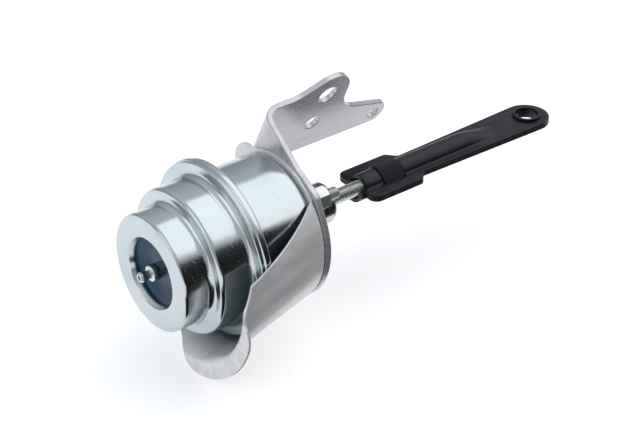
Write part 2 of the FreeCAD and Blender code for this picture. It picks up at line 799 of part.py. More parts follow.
def make_heat_shield(doc, d):
    body = new_body(doc, "heat_shield")
    back_x = d.base_x
    wall = d.shield_sheet * root(d.shield_slope * d.shield_slope + 1)
    lip_back_x = d.shield_lip_x + d.shield_sheet
    hole_r = d.boss_r + d.boss_hole_gap
    inner_corner = (d.can_back_x, shield_r(d, d.can_back_x) - wall)
    flare_inner = (d.shield_lip_x, shield_r(d, d.shield_lip_x) - wall)
    flare_outer = (lip_back_x, shield_r(d, lip_back_x))
    turned(
        body,
        "bell",
        [
            (back_x, hole_r),
            (back_x, d.shield_disc_r),
            flare_outer,
            (lip_back_x, d.shield_lip_r),
            (d.shield_lip_x, d.shield_lip_r),
            flare_inner,
            inner_corner,
            (d.can_back_x, hole_r),
        ],
    )
    rounded(body, "back_rounding", rings((back_x, d.shield_disc_r)), d.shield_bend)
    rounded(body, "back_inside", rings(inner_corner), d.shield_bend - d.shield_sheet)
    rounded(body, "flare_rounding", rings(flare_outer), d.shield_flare)
    rounded(body, "flare_inside", rings(flare_inner), d.shield_flare + d.shield_sheet)
    cut_through(body, "side_cut", shield_side_outline(body, d))
    cut_through(body, "lip_cut", shield_lip_outline(body, d))
    round_lip_corners(body, d)
    ear = new_sketch(body, "ear", "YZ_Plane", d.can_back_x)
    polygon(
        ear,
        [
            (-d.ear_half, d.shield_disc_r - d.ear_half),
            (d.ear_half, d.shield_disc_r - d.ear_half),
            (d.ear_half, d.ear_r),
            (-d.ear_half, d.ear_r),
        ],
    )
    padded(body, "ear_pad", ear, d.shield_sheet)
    rounded(
        body,
        "ear_rounding",
        straight_edges("yz", (d.ear_half, d.ear_r), (-d.ear_half, d.ear_r)),
        d.ear_half * 0.6,
    )
    holes = new_sketch(body, "stud_places", "YZ_Plane")
    for turn in (0, 180):
        y, z = stud_place(d, d.stud_angle - d.shield_angle + turn)
        circle(holes, y, z, d.stud_r + d.stud_hole_gap)
    cut_through(body, "stud_holes", holes)
    turn_about_axis(body, d.shield_angle)


def shield_side_outline(body, d):
    """Seen from the side, what is cut away above the shield's curved edge."""
    sketch = new_sketch(body, "side_outline", "XZ_Plane")
    clear = d.shield_lip_r + d.shield_sheet
    front_x = d.shield_lip_x - d.shield_sheet
    corners = [
        (d.shield_edge_x, -d.shield_edge_z),
        (front_x, -d.shield_front_drop),
        (front_x, clear),
        (d.can_back_x, clear),
        (d.can_back_x, as_size(0)),
    ]
    spots = [FreeCAD.Vector(as_size(x).value, as_size(z).value, 0) for x, z in corners]
    lines = [sketch.addGeometry(Part.LineSegment(a, b)) for a, b in zip(spots, spots[1:])]
    middle = (spots[0] + spots[-1]) / 2
    along = spots[0] - spots[-1]
    half = along.Length / 2
    across = FreeCAD.Vector(along.y, -along.x, 0).normalize()
    curve_r = d.shield_edge_curve.value
    centre = middle + across * -math.sqrt(curve_r**2 - half**2)
    if centre.y < middle.y:
        centre = middle + across * math.sqrt(curve_r**2 - half**2)
    start = math.atan2(spots[0].y - centre.y, spots[0].x - centre.x)
    end = math.atan2(spots[-1].y - centre.y, spots[-1].x - centre.x)
    ring = Part.Circle(centre, FreeCAD.Vector(0, 0, 1), curve_r)
    arc = sketch.addGeometry(Part.ArcOfCircle(ring, start, end))
    for first, second in zip(lines, lines[1:]):
        sketch.addConstraint(Sketcher.Constraint("Coincident", first, 2, second, 1))
    sketch.addConstraint(Sketcher.Constraint("Coincident", lines[0], 1, arc, 1))
    sketch.addConstraint(Sketcher.Constraint("Coincident", lines[-1], 2, arc, 2))
    for line, corner in zip(lines, corners):
        hold(sketch, "DistanceX", (line, 1), as_size(corner[0]))
        hold(sketch, "DistanceY", (line, 1), as_size(corner[1]))
    hold(sketch, "DistanceX", (lines[-1], 2), as_size(corners[-1][0]))
    hold(sketch, "DistanceY", (lines[-1], 2), as_size(corners[-1][1]))
    index = sketch.addConstraint(Sketcher.Constraint("Radius", arc, curve_r))
    sketch.setExpression(f"Constraints[{index}]", d.shield_edge_curve.text)
    return sketch


def shield_lip_outline(body, d):
    """Seen from above, what is cut away beside the lip, on both sides."""
    sketch = new_sketch(body, "lip_outline", "XY_Plane")
    front_x = d.shield_lip_x - d.shield_sheet
    flat_end_x = d.shield_lip_x + d.shield_sheet
    back_x = front_x + d.shield_flare * 3
    back_y = d.shield_lip_half + (back_x - flat_end_x) * d.shield_lip_lean
    clear = d.shield_lip_r + d.shield_sheet
    for side in (1, -1):
        outline = [
            (front_x, d.shield_lip_half),
            (flat_end_x, d.shield_lip_half),
            (back_x, back_y),
            (back_x, clear),
            (front_x, clear),
        ]
        polygon(sketch, [(x, y * side) for x, y in outline])
    return sketch


def round_lip_corners(body, d):
    """Round the lip's two outer corners, where its sides meet its round edge."""

    depth = -root(d.shield_lip_r * d.shield_lip_r - d.shield_lip_half * d.shield_lip_half)
    corners = [(d.shield_lip_half, depth), (-d.shield_lip_half, depth)]
    rounded(body, "lip_corners", straight_edges("yz", *corners), d.shield_corner)


# Bracket: a flat base on the studs and an arm bent backwards, modelled upright and turned about the axis


def make_bracket(doc, d):
    body = new_body(doc, "bracket")
    front_x = d.base_x
    back_x = d.base_back_x
    base = new_sketch(body, "base_disc", "YZ_Plane", front_x)
    circle(base, 0, 0, d.base_r)
    padded(body, "base_disc_pad", base, d.bracket_sheet)
    top = new_sketch(body, "base_top", "YZ_Plane", front_x)
    polygon(
        top,
        [
            (0, 0),
            (d.bend_y, 0),
            (d.bend_y, d.arm_root_z),
            (d.base_mid_y, d.base_mid_z),
            (d.base_peak_y, d.base_peak_z),
            (d.base_left_y, d.base_left_z),
        ],
    )
    padded(body, "base_top_pad", top, d.bracket_sheet)
    relief = new_sketch(body, "bend_relief", "YZ_Plane")
    low_z = d.arm_low_z - d.relief
    polygon(
        relief,
        [
            (d.bend_y, low_z),
            (d.base_r + d.relief, low_z),
            (d.base_r + d.relief, d.arm_root_z + d.relief),
            (d.bend_y, d.arm_root_z + d.relief),
        ],
    )
    cut_through(body, "bend_relief_cut", relief)
    holes = new_sketch(body, "base_holes", "YZ_Plane")
    circle(holes, 0, 0, d.boss_r + d.boss_hole_gap)
    for turn in (0, 180):
        y, z = stud_place(d, d.stud_angle - d.bracket_angle + turn)
        circle(holes, y, z, d.stud_r + d.stud_hole_gap)
    cut_through(body, "base_holes_cut", holes)
    rounded(
        body,
        "base_corners",
        straight_edges("yz", (d.base_peak_y, d.base_peak_z), (d.base_mid_y, d.base_mid_z)),
        d.base_corner,
    )
    make_bracket_bend(body, d, back_x)
    make_bracket_arm(body, d, back_x + d.bend_r)
    turn_about_axis(body, d.bracket_angle)


def make_bracket_bend(body, d, back_x):
    """The quarter bend between the base and the arm."""
    centre_x = back_x + d.bend_r
    outer_r = d.bend_r + d.bracket_sheet
    section = new_sketch(body, "bend_section", "XY_Plane", d.arm_low_z)
    polygon(
        section,
        [
            (centre_x - outer_r, d.bend_y),
            (centre_x - outer_r, d.bend_y + outer_r),
            (centre_x, d.bend_y + outer_r),
            (centre_x, d.bend_y + d.bend_r),
            (centre_x - d.bend_r, d.bend_y + d.bend_r),
            (centre_x - d.bend_r, d.bend_y),
        ],
    )
    padded(body, "bend", section, d.arm_root_z - d.arm_low_z)
    rounded(
        body, "bend_outside", straight_edges("xy", (centre_x - outer_r, d.bend_y + outer_r)), outer_r - d.slip
    )
    rounded(body, "bend_inside", straight_edges("xy", (back_x, d.bend_y + d.bend_r)), d.bend_r - d.slip)


def make_bracket_arm(body, d, root_x):
    """The arm with its upper lobe, its rounded tip and its three holes."""
    inner_y = d.bend_y + d.bend_r
    side = new_sketch(body, "arm_outline", "XZ_Plane", -inner_y)
    corners = [
        (root_x, d.arm_low_z),
        (d.tip_x, d.arm_low_z),
        (d.tip_x, d.tip_z),
        (d.lobe_x, d.lobe_foot_z),
        (d.lobe_x, d.lobe_top_z),
        (d.lobe_front_x, d.lobe_top_z),
        (d.saddle_x, d.saddle_z),
        (root_x, d.arm_root_z),
    ]
    polygon(side, corners)
    padded(body, "arm", side, d.bracket_sheet, backwards=True)
    rounded(body, "tip_rounding", straight_edges("xz", corners[1], corners[2]), d.tip_corner)
    rounded(body, "lobe_hollow_rounding", straight_edges("xz", corners[3]), d.lobe_hollow)
    rounded(body, "lobe_rounding", straight_edges("xz", corners[4]), d.lobe_corner)
    rounded(body, "lobe_front_rounding", straight_edges("xz", corners[5]), d.lobe_front_corner)
    rounded(body, "saddle_rounding", straight_edges("xz", corners[6]), d.saddle_corner)
    holes = new_sketch(body, "arm_holes", "XZ_Plane")
    circle(holes, d.arm_hole_x, d.arm_hole_z, d.arm_hole_r)
    circle(holes, d.mid_hole_x, d.mid_hole_z, d.mid_hole_r)
    circle(holes, d.tip_hole_x, d.tip_hole_z, d.tip_hole_r)
    cut_through(body, "arm_holes_cut", holes)


# Rod end: two stamped halves, face to face in the plane z = 0


def make_rod_end_half(doc, d, label, lower, mouth_x):
    body = new_body(doc, label)
    plate = new_sketch(body, "plate_outline", "XY_Plane")
    narrow_end_x = d.eye_x - root(d.eye_plate_r * d.eye_plate_r - d.neck_half * d.neck_half)
    outline = [
        (d.wide_x, -d.wide_half),
        (d.wide_end_x, -d.wide_half),
        (d.neck_x, -d.neck_half),
        (narrow_end_x, -d.neck_half),
        (narrow_end_x, d.neck_half),
        (d.neck_x, d.neck_half),
        (d.wide_end_x, d.wide_half),
        (d.wide_x, d.wide_half),
    ]
    polygon(plate, outline)
    padded(body, "plate", plate, d.stamp, backwards=lower)
    rounded(body, "wide_corners", straight_edges("xy", outline[0], outline[7]), d.wide_corner)
    rounded(
        body,
        "neck_corners",
        straight_edges("xy", outline[1], outline[2], outline[5], outline[6]),
        d.neck_corner,
    )
    eye = new_sketch(body, "eye_outline", "XY_Plane")
    circle(eye, d.eye_x, 0, d.eye_plate_r)
    padded(body, "eye_plate", eye, d.stamp, backwards=lower)
    rounded(body, "eye_fairing", straight_edges("xy", outline[3], outline[4]), d.eye_fair)
    collar = [(mouth_x, 0), (mouth_x, d.pipe_r), (d.window_x, d.pipe_r), (d.window_x, 0)]
    turned(body, "collar", collar, angle=180.0, backwards=lower)
    pipe = [
        (d.window_end_x, 0),
        (d.window_end_x, d.pipe_r),
        (d.pipe_end_x, d.pipe_r),
        (d.fade_end_x, d.stamp),
        (d.fade_end_x, 0),
    ]
    turned(body, "pipe", pipe, angle=180.0, backwards=lower)
    bore_r = d.pipe_r - d.stamp
    fade_x = d.fade_end_x - (d.fade_end_x - d.pipe_end_x) * d.stamp / d.pipe_r
    before = volume_of(body)
    bore = [(d.mouth_x, 0), (d.mouth_x, bore_r), (d.pipe_end_x, bore_r), (fade_x, 0)]
    turned(body, "bore", bore, "Groove")
    if not volume_of(body) < before - NEAR:
        raise ValueError(f"{label}: the bore cuts nothing")
    opening = new_sketch(body, "window_outline", "XY_Plane")
    polygon(
        opening,
        [
            (d.window_x, -d.window_half),
            (d.window_end_x, -d.window_half),
            (d.window_end_x, d.window_half),
            (d.window_x, d.window_half),
        ],
    )
    circle(opening, d.eye_x, 0, d.eye_barrel_r + d.slip)
    cut_through(body, "window", opening)


def make_end_bush(doc, d):
    body = new_body(doc, "end_bush")
    half = d.eye_length / 2
    profile = new_sketch(body, "bush_profile", "XZ_Plane")
    polygon(
        profile,
        [
            (d.eye_bore_r, -half),
            (d.eye_rim_r, -half),
            (d.eye_rim_r, -d.stamp),
            (d.eye_barrel_r, -d.stamp),
            (d.eye_barrel_r, d.stamp),
            (d.eye_rim_r, d.stamp),
            (d.eye_rim_r, half),
            (d.eye_bore_r, half),
        ],
    )
    bush = body.newObject("PartDesign::Revolution", "bush")
    bush.Profile = profile
    bush.ReferenceAxis = (profile, ["V_Axis"])
    body.Tip = bush
    body.Placement = FreeCAD.Placement(FreeCAD.Vector(d.eye_x.value, 0, 0), FreeCAD.Rotation())
    body.setExpression(".Placement.Base.x", d.eye_x.text)


def make_adjuster_nut(doc, d):
    body = new_body(doc, "adjuster_nut")
    start_x = d.window_x + d.knurl_play
    end_x = d.window_end_x - d.knurl_play
    edge_r = d.knurl_r - d.knurl_chamfer
    bore_r = d.rod_r + d.rod_play
    turned(
        body,
        "nut",
        [
            (start_x, bore_r),
            (start_x, edge_r),
            (start_x + d.knurl_chamfer, d.knurl_r),
            (end_x - d.knurl_chamfer, d.knurl_r),
            (end_x, edge_r),
            (end_x, bore_r),
        ],
    )


def make_all(doc, d):
    make_front_cover(doc, d)
    make_hose_nipple(doc, d)
    make_rear_can(doc, d)
    make_diaphragm(doc, d)
    make_piston_cup(doc, d)
    make_diaphragm_retainer(doc, d)
    make_return_spring(doc, d)
    make_actuator_rod(doc, d)
    make_rod_guide(doc, d)
    make_guide_bush(doc, d)
    make_rod_seal(doc, d)
    for place, turn in (("upper", 0), ("lower", 180)):
        make_stud(doc, d, "stud_" + place, turn)
        make_nut(doc, d, "nut_" + place, turn)
    make_heat_shield(doc, d)
    make_bracket(doc, d)
    make_rod_end_half(doc, d, "rod_end_upper", False, d.mouth_upper_x)
    make_rod_end_half(doc, d, "rod_end_lower", True, d.mouth_x)
    make_end_bush(doc, d)
    make_adjuster_nut(doc, d)


def check(doc):
    """Stop where a feature has failed or a piece is not one valid solid."""
    for item in doc.Objects:
        if "Invalid" in item.State or "Error" in item.State:
            raise ValueError(f"{item.Label}: {item.State}")
    for body in bodies(doc):
        if body.Shape.isNull() or not body.Shape.isValid() or len(body.Shape.Solids) != 1:
            raise ValueError(f"{body.Label}: not one valid solid")


def bodies(doc):
    return [item for item in doc.Objects if item.isDerivedFrom("PartDesign::Body")]


def main():
    doc = FreeCAD.newDocument("wastegate_actuator")
    d = fill_sheet(doc)
    lay_out(d)
    make_all(doc, d)
    doc.recompute()
    check(doc)
    os.makedirs("parts", exist_ok=True)
    for body in bodies(doc):
        body.Shape.exportStep(f"parts/{body.Label}.step")


main()
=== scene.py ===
import json
import math
from contextlib import contextmanager

import bmesh
import bpy
import numpy as np
from mathutils import Matrix, Vector

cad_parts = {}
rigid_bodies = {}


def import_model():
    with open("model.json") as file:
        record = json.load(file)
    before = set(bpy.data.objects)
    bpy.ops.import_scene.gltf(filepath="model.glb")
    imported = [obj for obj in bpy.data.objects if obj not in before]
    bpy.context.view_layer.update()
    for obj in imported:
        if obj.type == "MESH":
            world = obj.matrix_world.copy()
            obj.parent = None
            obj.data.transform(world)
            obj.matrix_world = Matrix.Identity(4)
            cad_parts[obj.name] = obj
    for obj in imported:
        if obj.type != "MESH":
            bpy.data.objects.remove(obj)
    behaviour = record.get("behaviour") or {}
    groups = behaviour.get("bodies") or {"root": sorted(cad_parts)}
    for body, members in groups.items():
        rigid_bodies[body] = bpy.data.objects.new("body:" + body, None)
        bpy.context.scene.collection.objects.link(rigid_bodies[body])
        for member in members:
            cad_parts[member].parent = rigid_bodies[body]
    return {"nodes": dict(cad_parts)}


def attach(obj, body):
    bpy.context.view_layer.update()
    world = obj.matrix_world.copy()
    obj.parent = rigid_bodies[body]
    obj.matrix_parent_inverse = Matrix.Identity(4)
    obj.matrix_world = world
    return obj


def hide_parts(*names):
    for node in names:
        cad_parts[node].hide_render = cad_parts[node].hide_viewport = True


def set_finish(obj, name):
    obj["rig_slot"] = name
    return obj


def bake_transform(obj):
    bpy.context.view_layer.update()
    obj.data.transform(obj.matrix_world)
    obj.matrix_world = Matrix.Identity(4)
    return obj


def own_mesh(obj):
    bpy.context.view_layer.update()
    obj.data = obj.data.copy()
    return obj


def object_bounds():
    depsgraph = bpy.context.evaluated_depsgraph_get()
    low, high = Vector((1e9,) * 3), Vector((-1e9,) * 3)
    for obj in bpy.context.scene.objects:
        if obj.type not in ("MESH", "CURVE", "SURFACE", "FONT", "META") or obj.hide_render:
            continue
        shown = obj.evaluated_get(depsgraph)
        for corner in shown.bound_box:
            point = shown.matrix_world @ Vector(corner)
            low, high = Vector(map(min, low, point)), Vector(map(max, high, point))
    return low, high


# Lengths are in millimetres. X runs along the actuator, from the shoulder of the hose nipple at 0.

MM = 0.001

# The bend of an edge that is only broken, not rounded

FINE = 0.12

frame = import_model()
cad_box = [list(corner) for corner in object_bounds()]
NODES = frame["nodes"]


# Outlines: an arc's widest step in degrees, and half the angle, in radians, of a line that runs on

ARC_STEP = 11
SMALL_ARC_STEP = 30
SMALL_BEND = 0.5
STRAIGHT = 1.56


def rounded(corners, closed=True, edge=FINE):
    """A line through (x, y, bend) corners, with an arc at each; edge is for those with no bend."""
    points = []
    last = len(corners) - 1
    for number, corner in enumerate(corners):
        here = Vector(corner[:2])
        if not closed and number in (0, last):
            points.append(tuple(here))
            continue
        bend = corner[2] if len(corner) > 2 else edge
        before = (Vector(corners[number - 1][:2]) - here).normalized()
        after = (Vector(corners[(number + 1) % len(corners)][:2]) - here).normalized()
        half = before.angle(after) / 2
        if half > STRAIGHT:
            points.append(tuple(here))
            continue
        reach = bend / math.tan(half)
        middle = here + (before + after).normalized() * (bend / math.sin(half))
        start = here + before * reach - middle
        end = here + after * reach - middle
        first = math.atan2(start.y, start.x)
        sweep = (math.atan2(end.y, end.x) - first + math.pi) % math.tau - math.pi
        widest = math.radians(ARC_STEP if bend > SMALL_BEND else SMALL_ARC_STEP)
        steps = max(2, math.ceil(abs(sweep) / widest))
        for step in range(steps + 1):
            turn = first + sweep * step / steps
            points.append((middle.x + bend * math.cos(turn), middle.y + bend * math.sin(turn)))
    return points


def spread(points, gap):
    """The same line with more points, none further apart than the gap."""
    out = [points[0]]
    for (x0, y0), (x1, y1) in zip(points, points[1:]):
        count = max(1, math.ceil(math.hypot(x1 - x0, y1 - y0) / gap))
        for k in range(1, count + 1):
            out.append((x0 + (x1 - x0) * k / count, y0 + (y1 - y0) * k / count))
    return out


def arc(x, y, radius, start, end, count):
    """Points on an arc about (x, y), between two angles in radians."""
    turns = np.linspace(start, end, count)
    return [(x + radius * math.cos(t), y + radius * math.sin(t)) for t in turns]


def circle(x, y, radius, count=48):
    return arc(x, y, radius, 0, math.tau, count + 1)[:-1]


def at_angle(radius, degrees):
    """The point at this radius and angle about the origin."""
    turn = math.radians(degrees)
    return radius * math.cos(turn), radius * math.sin(turn)


# Meshes: vertices nearer than a weld are merged, and edges sharper than an angle stay crisp

WELD = 0.004
PLATE_WELD = 0.002
SHARP_ANGLE = 32
FLAT_SHARP_ANGLE = 20
NUT_SHARP_ANGLE = 25
KNURL_SHARP_ANGLE = 60
BEVEL_FOLD = 0.9


@contextmanager
def editing(mesh):
    """Open a mesh for changes and write them back."""
    shape = bmesh.new()
    shape.from_mesh(mesh)
    yield shape
    shape.to_mesh(mesh)
    shape.free()


def finished(name, mesh, body, slot, nodes, angle=SHARP_ANGLE):
    """Link a mesh as a piece of a body and a material slot, in place of the CAD nodes."""
    mesh.shade_smooth()
    mesh.set_sharp_from_angle(angle=math.radians(angle))
    piece = bpy.data.objects.new(name, mesh)
    bpy.context.collection.objects.link(piece)
    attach(piece, body)
    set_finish(piece, slot)
    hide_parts(*nodes)


def mesh_from(name, points, faces):
    mesh = bpy.data.meshes.new(name)
    mesh.from_pydata([tuple(c * MM for c in point) for point in points], [], faces)
    with editing(mesh) as shape:
        bmesh.ops.remove_doubles(shape, verts=shape.verts, dist=WELD * MM)
        bmesh.ops.recalc_face_normals(shape, faces=shape.faces)
    return mesh


def grid_faces(rows, columns, ring_rows=False, ring_columns=False, first=0):
    """Faces over rows of points; a ring also joins its last row or column to its first."""
    faces = []
    for i in range(rows if ring_rows else rows - 1):
        low = first + i * columns
        high = first + ((i + 1) % rows) * columns
        for j in range(columns if ring_columns else columns - 1):
            k = (j + 1) % columns
            faces.append((low + j, low + k, high + k, high + j))
    return faces


def steady(radius):
    """The same radius at every angle."""
    return lambda angle: radius


def turned_grid(name, rows, columns):
    """A closed skin about the X axis; each row is its x and a radius for every angle."""
    angles = [math.tau * j / columns for j in range(columns)]
    points = []
    for x, radius in rows:
        for angle in angles:
            r = max(radius(angle), 0.0)
            points.append((x, r * math.cos(angle), r * math.sin(angle)))
    return mesh_from(name, points, grid_faces(len(rows), columns, True, True))


def lathe(name, outline, columns):
    """Turn a closed outline of (x, radius) points about the X axis."""
    return turned_grid(name, [(x, steady(r)) for x, r in outline], columns)


def joined(name, *meshes):
    shape = bmesh.new()
    for mesh in meshes:
        shape.from_mesh(mesh)
    out = bpy.data.meshes.new(name)
    shape.to_mesh(out)
    shape.free()
    return out


def plate(name, outlines, thick, bevel):
    """A plate on z = 0 from closed outlines in XY: the first is its edge, the others its holes."""
    curve = bpy.data.curves.new(name, "CURVE")
    curve.dimensions = "2D"
    curve.fill_mode = "BOTH"
    for outline in outlines:
        spline = curve.splines.new("POLY")
        spline.points.add(len(outline) - 1)
        for point, (x, y) in zip(spline.points, outline):
            point.co = (x * MM, y * MM, 0, 1)
        spline.use_cyclic_u = True
    curve.extrude = (thick / 2 - bevel) * MM
    curve.bevel_depth = bevel * MM
    curve.bevel_resolution = 1
    curve.offset = -bevel * MM
    holder = bpy.data.objects.new(name, curve)
    bpy.context.collection.objects.link(holder)
    bpy.context.view_layer.update()
    mesh = bpy.data.meshes.new_from_object(holder)
    bpy.data.objects.remove(holder)
    mesh.transform(Matrix.Translation((0, 0, thick / 2 * MM)))
    with editing(mesh) as shape:
        bmesh.ops.remove_doubles(shape, verts=shape.verts, dist=PLATE_WELD * MM)
    return mesh


def moved(mesh, place):
    """Put every vertex where place(x, y, z) says, in millimetres."""
    for vertex in mesh.vertices:
        vertex.co = Vector(place(*(vertex.co / MM))) * MM
    mesh.update()
    return mesh


def turned(mesh, degrees):
    """Turn a mesh about the X axis."""
    c = math.cos(math.radians(degrees))
    s = math.sin(math.radians(degrees))
    return moved(mesh, lambda x, y, z: (x, y * c - z * s, y * s + z * c))


# Can: the drawn front cover with its crimped rim, the rear can, the nipple and the boss

WALL = 1.0
RECESS_X = 2.2
NOSE_R = 19.4
STEP_X = 10.1
STEP_R = 24.1
FLANGE_X = 22.1
FLANGE_R = 28.05
BEAD_R = 28.8
RIM_R = 29.2
RIM_BACK = 26.0
CRIMP_R = 26.8
SEAM_X = 24.1
SEAM_R = 28.0
CAN_R = 23.6
CAN_BACK = 48.1
BASE_BACK = 50.9

NIPPLE_TIP = -3.9
NIPPLE_BACK = 3.9
NIPPLE_BORE = 0.8
NIPPLE_BASE_R = 2.6
NIPPLE_SEAT_R = 1.8
BARB_R = 1.7
NECK_R = 1.33

BOSS_R = 7.0
BOSS_END = 68.7
BOSS_BORE = 3.6
BOSS_MOUTH = 4.6
BOSS_MOUTH_DEPTH = 2.0
BOSS_SEAT_R = 5.0
BOSS_RIVET_R = 6.8

# Room between two parts that fit into each other

PLAY = 0.05


def make_front_cover():
    """The front shell: a recess, two steps, and a flange that wraps the rear can's rim."""
    outline = rounded(
        [
            (RECESS_X, NIPPLE_SEAT_R + PLAY),
            (RECESS_X, 10.8, 0.8),
            (0, 12.0, 0.8),
            (0, NOSE_R, 1.1),
            (STEP_X, NOSE_R, 2.2),
            (STEP_X, STEP_R, 1.5),
            (FLANGE_X, STEP_R, 2.2),
            (FLANGE_X, BEAD_R, 0.55),
            (22.95, BEAD_R, 0.4),
            (23.35, 28.35, 0.25),
            (23.75, RIM_R, 0.45),
            (RIM_BACK, RIM_R, 0.9),
            (RIM_BACK, CRIMP_R),
            (SEAM_X + WALL, CRIMP_R),
            (SEAM_X + WALL, FLANGE_R),
            (FLANGE_X + WALL, FLANGE_R),
            (FLANGE_X + WALL, STEP_R - WALL, 3.2),
            (STEP_X + WALL, STEP_R - WALL, 0.5),
            (STEP_X + WALL, NOSE_R - WALL, 3.2),
            (WALL, NOSE_R - WALL),
            (WALL, 12.5),
            (RECESS_X + WALL, 11.3, 1.8),
            (RECESS_X + WALL, NIPPLE_SEAT_R + PLAY),
        ]
    )
    mesh = lathe("cover_shell", outline, 192)
    finished("cover_shell", mesh, "housing", "bright_zinc", ["front_cover"])


def make_nipple():
    """The hose nipple: a barb, a neck and a wide base, set into the cover's recess."""
    outline = rounded(
        [
            (NIPPLE_TIP, NIPPLE_BORE, 0.15),
            (NIPPLE_TIP, 1.3, 0.2),
            (-3.2, BARB_R, 0.25),
            (-2.9, BARB_R, 0.12),
            (-2.75, NECK_R, 0.2),
            (0, NECK_R, 0.35),
            (0, NIPPLE_BASE_R, 0.35),
            (RECESS_X, NIPPLE_BASE_R, 0.1),
            (RECESS_X, NIPPLE_SEAT_R),
            (RECESS_X + WALL, NIPPLE_SEAT_R),
            (RECESS_X + WALL, NIPPLE_BASE_R),
            (NIPPLE_BACK, NIPPLE_BASE_R),
            (NIPPLE_BACK, NIPPLE_BORE),
        ]
    )
    mesh = lathe("nipple_turned", outline, 72)
    finished("nipple_turned", mesh, "housing", "turned_zinc", ["hose_nipple"])


def make_rear_can():
    outline = rounded(
        [
            (SEAM_X, SEAM_R),
            (SEAM_X + WALL, SEAM_R),
            (SEAM_X + WALL, CAN_R, 1.3),
            (CAN_BACK, CAN_R, 1.8),
            (CAN_BACK, BOSS_SEAT_R + PLAY),
            (CAN_BACK - WALL, BOSS_SEAT_R + PLAY),
            (CAN_BACK - WALL, CAN_R - WALL, 0.8),
            (SEAM_X, CAN_R - WALL, 2.3),
        ]
    )
    mesh = lathe("rear_shell", outline, 192)
    finished("rear_shell", mesh, "housing", "bright_zinc", ["rear_can"])


def make_boss():
    """The boss that guides the rod: riveted through the can's back, its mouth wider for the seal."""
    outline = rounded(
        [
            (CAN_BACK - 2 * WALL, BOSS_BORE),
            (CAN_BACK - 2 * WALL, BOSS_RIVET_R),
            (CAN_BACK - WALL, BOSS_RIVET_R),
            (CAN_BACK - WALL, BOSS_SEAT_R),
            (CAN_BACK, BOSS_SEAT_R),
            (CAN_BACK, BOSS_R, 0.2),
            (BOSS_END, BOSS_R, 1.5),
            (BOSS_END, BOSS_MOUTH, 0.25),
            (BOSS_END - BOSS_MOUTH_DEPTH, BOSS_MOUTH),
            (BOSS_END - BOSS_MOUTH_DEPTH, BOSS_BORE),
        ]
    )
    mesh = lathe("boss_turned", outline, 96)
    finished("boss_turned", mesh, "housing", "turned_zinc", ["rod_guide"])


# Threads, nuts and studs

THREAD_CUT = 0.58
THREAD_STEEPNESS = 1.35
THREAD_CREST = 0.2
THREAD_RUN_OUT = 1.2
ROWS_A_PITCH = 8

RIVET_FRONT = 10.7
RIVET_BACK = 11.7
RIVET_HEAD_R = 3.2
RIVET_R = 2.0
COLLAR_FRONT = 13.3
COLLAR_BACK = 15.3
COLLAR_R = 4.0
ROD_R = 2.5
ROD_PITCH = 0.8
ROD_THREAD_START = 69.5
ROD_TIP = 124.0

STUD_R = 2.0
STUD_HEAD_R = 2.5
STUD_PITCH = 0.7
STUD_THREAD_START = 50.1
STUD_TIP = 61.5
STUD_CIRCLE_R = 19.8
STUD_ANGLES = {"upper": 138.0, "lower": 318.0}

NUT_TURNS = {"upper": 0.35, "lower": 0.8}
NUT_HEIGHT = 6.0
NUT_FLATS = 7.0
NUT_CORNER_R = 4.09
NUT_CHAMFER = 0.62
NUT_CHAMFER_SLOPE = 1.7
NUT_BORE = 2.1
NUT_FLANGE_R = 5.0
NUT_FLANGE = 0.75
NUT_CONE_SLOPE = 1.25


def thread_depth(x, angle, pitch):
    """How deep the thread is cut there, from 0 at the crest to 1 at the root."""
    phase = (x / pitch - angle / math.tau) % 1
    return min(1.0, max(0.0, abs(2 * phase - 1) * THREAD_STEEPNESS - THREAD_CREST))


def thread_rows(start, end, radius, pitch, chamfer):
    """Rows of a screw thread that runs out at its start and has a chamfer and a flat at its end."""
    cut = THREAD_CUT * pitch
    count = round((end - start) / pitch * ROWS_A_PITCH)

    def skin(x):
        fade = min(1.0, (x - start) / (THREAD_RUN_OUT * pitch))
        cap = radius - max(0.0, chamfer - (end - x))
        return lambda angle: min(cap, radius - cut * fade * thread_depth(x, angle, pitch))

    places = [start + (end - start) * number / count for number in range(count + 1)]
    return [(x, skin(x)) for x in places] + [(end, steady(0.0))]


def plain_rows(corners):
    return [(x, steady(r)) for x, r in rounded(corners, closed=False)]


def make_rod():
    """The rod: riveted to the piston cup in front of a collar, and threaded on its outer half."""
    rows = plain_rows(
        [
            (RIVET_FRONT, 0.0),
            (RIVET_FRONT, RIVET_HEAD_R, 0.4),
            (RIVET_BACK, RIVET_HEAD_R),
            (RIVET_BACK, RIVET_R),
            (COLLAR_FRONT, RIVET_R),
            (COLLAR_FRONT, COLLAR_R),
            (COLLAR_BACK, COLLAR_R),
            (COLLAR_BACK, ROD_R, 0.3),
            (ROD_THREAD_START - 0.1, ROD_R),
        ]
    )
    rows += thread_rows(ROD_THREAD_START, ROD_TIP, ROD_R, ROD_PITCH, 0.6)
    mesh = turned_grid("rod_threaded", rows, 64)
    finished("rod_threaded", mesh, "rod", "zinc_hardware", ["actuator_rod"])


def at_stud(mesh, angle):
    y, z = at_angle(STUD_CIRCLE_R, angle)
    mesh.transform(Matrix.Translation((0, y * MM, z * MM)))
    return mesh


def stud_mesh(name, angle):
    head, seat = CAN_BACK - 2 * WALL, CAN_BACK - WALL
    corners = [(head, 0.0), (head, STUD_HEAD_R, 0.3), (seat, STUD_HEAD_R), (seat, STUD_R)]
    rows = plain_rows(corners + [(49.0, STUD_R), (50.0, STUD_R)])
    rows += thread_rows(STUD_THREAD_START, STUD_TIP, STUD_R, STUD_PITCH, 0.5)
    return at_stud(turned_grid(name, rows, 48), angle)


def hexagon(angle, flats, turn):
    sector = (angle - turn) % (math.pi / 3) - math.pi / 6
    return flats / 2 / math.cos(sector)


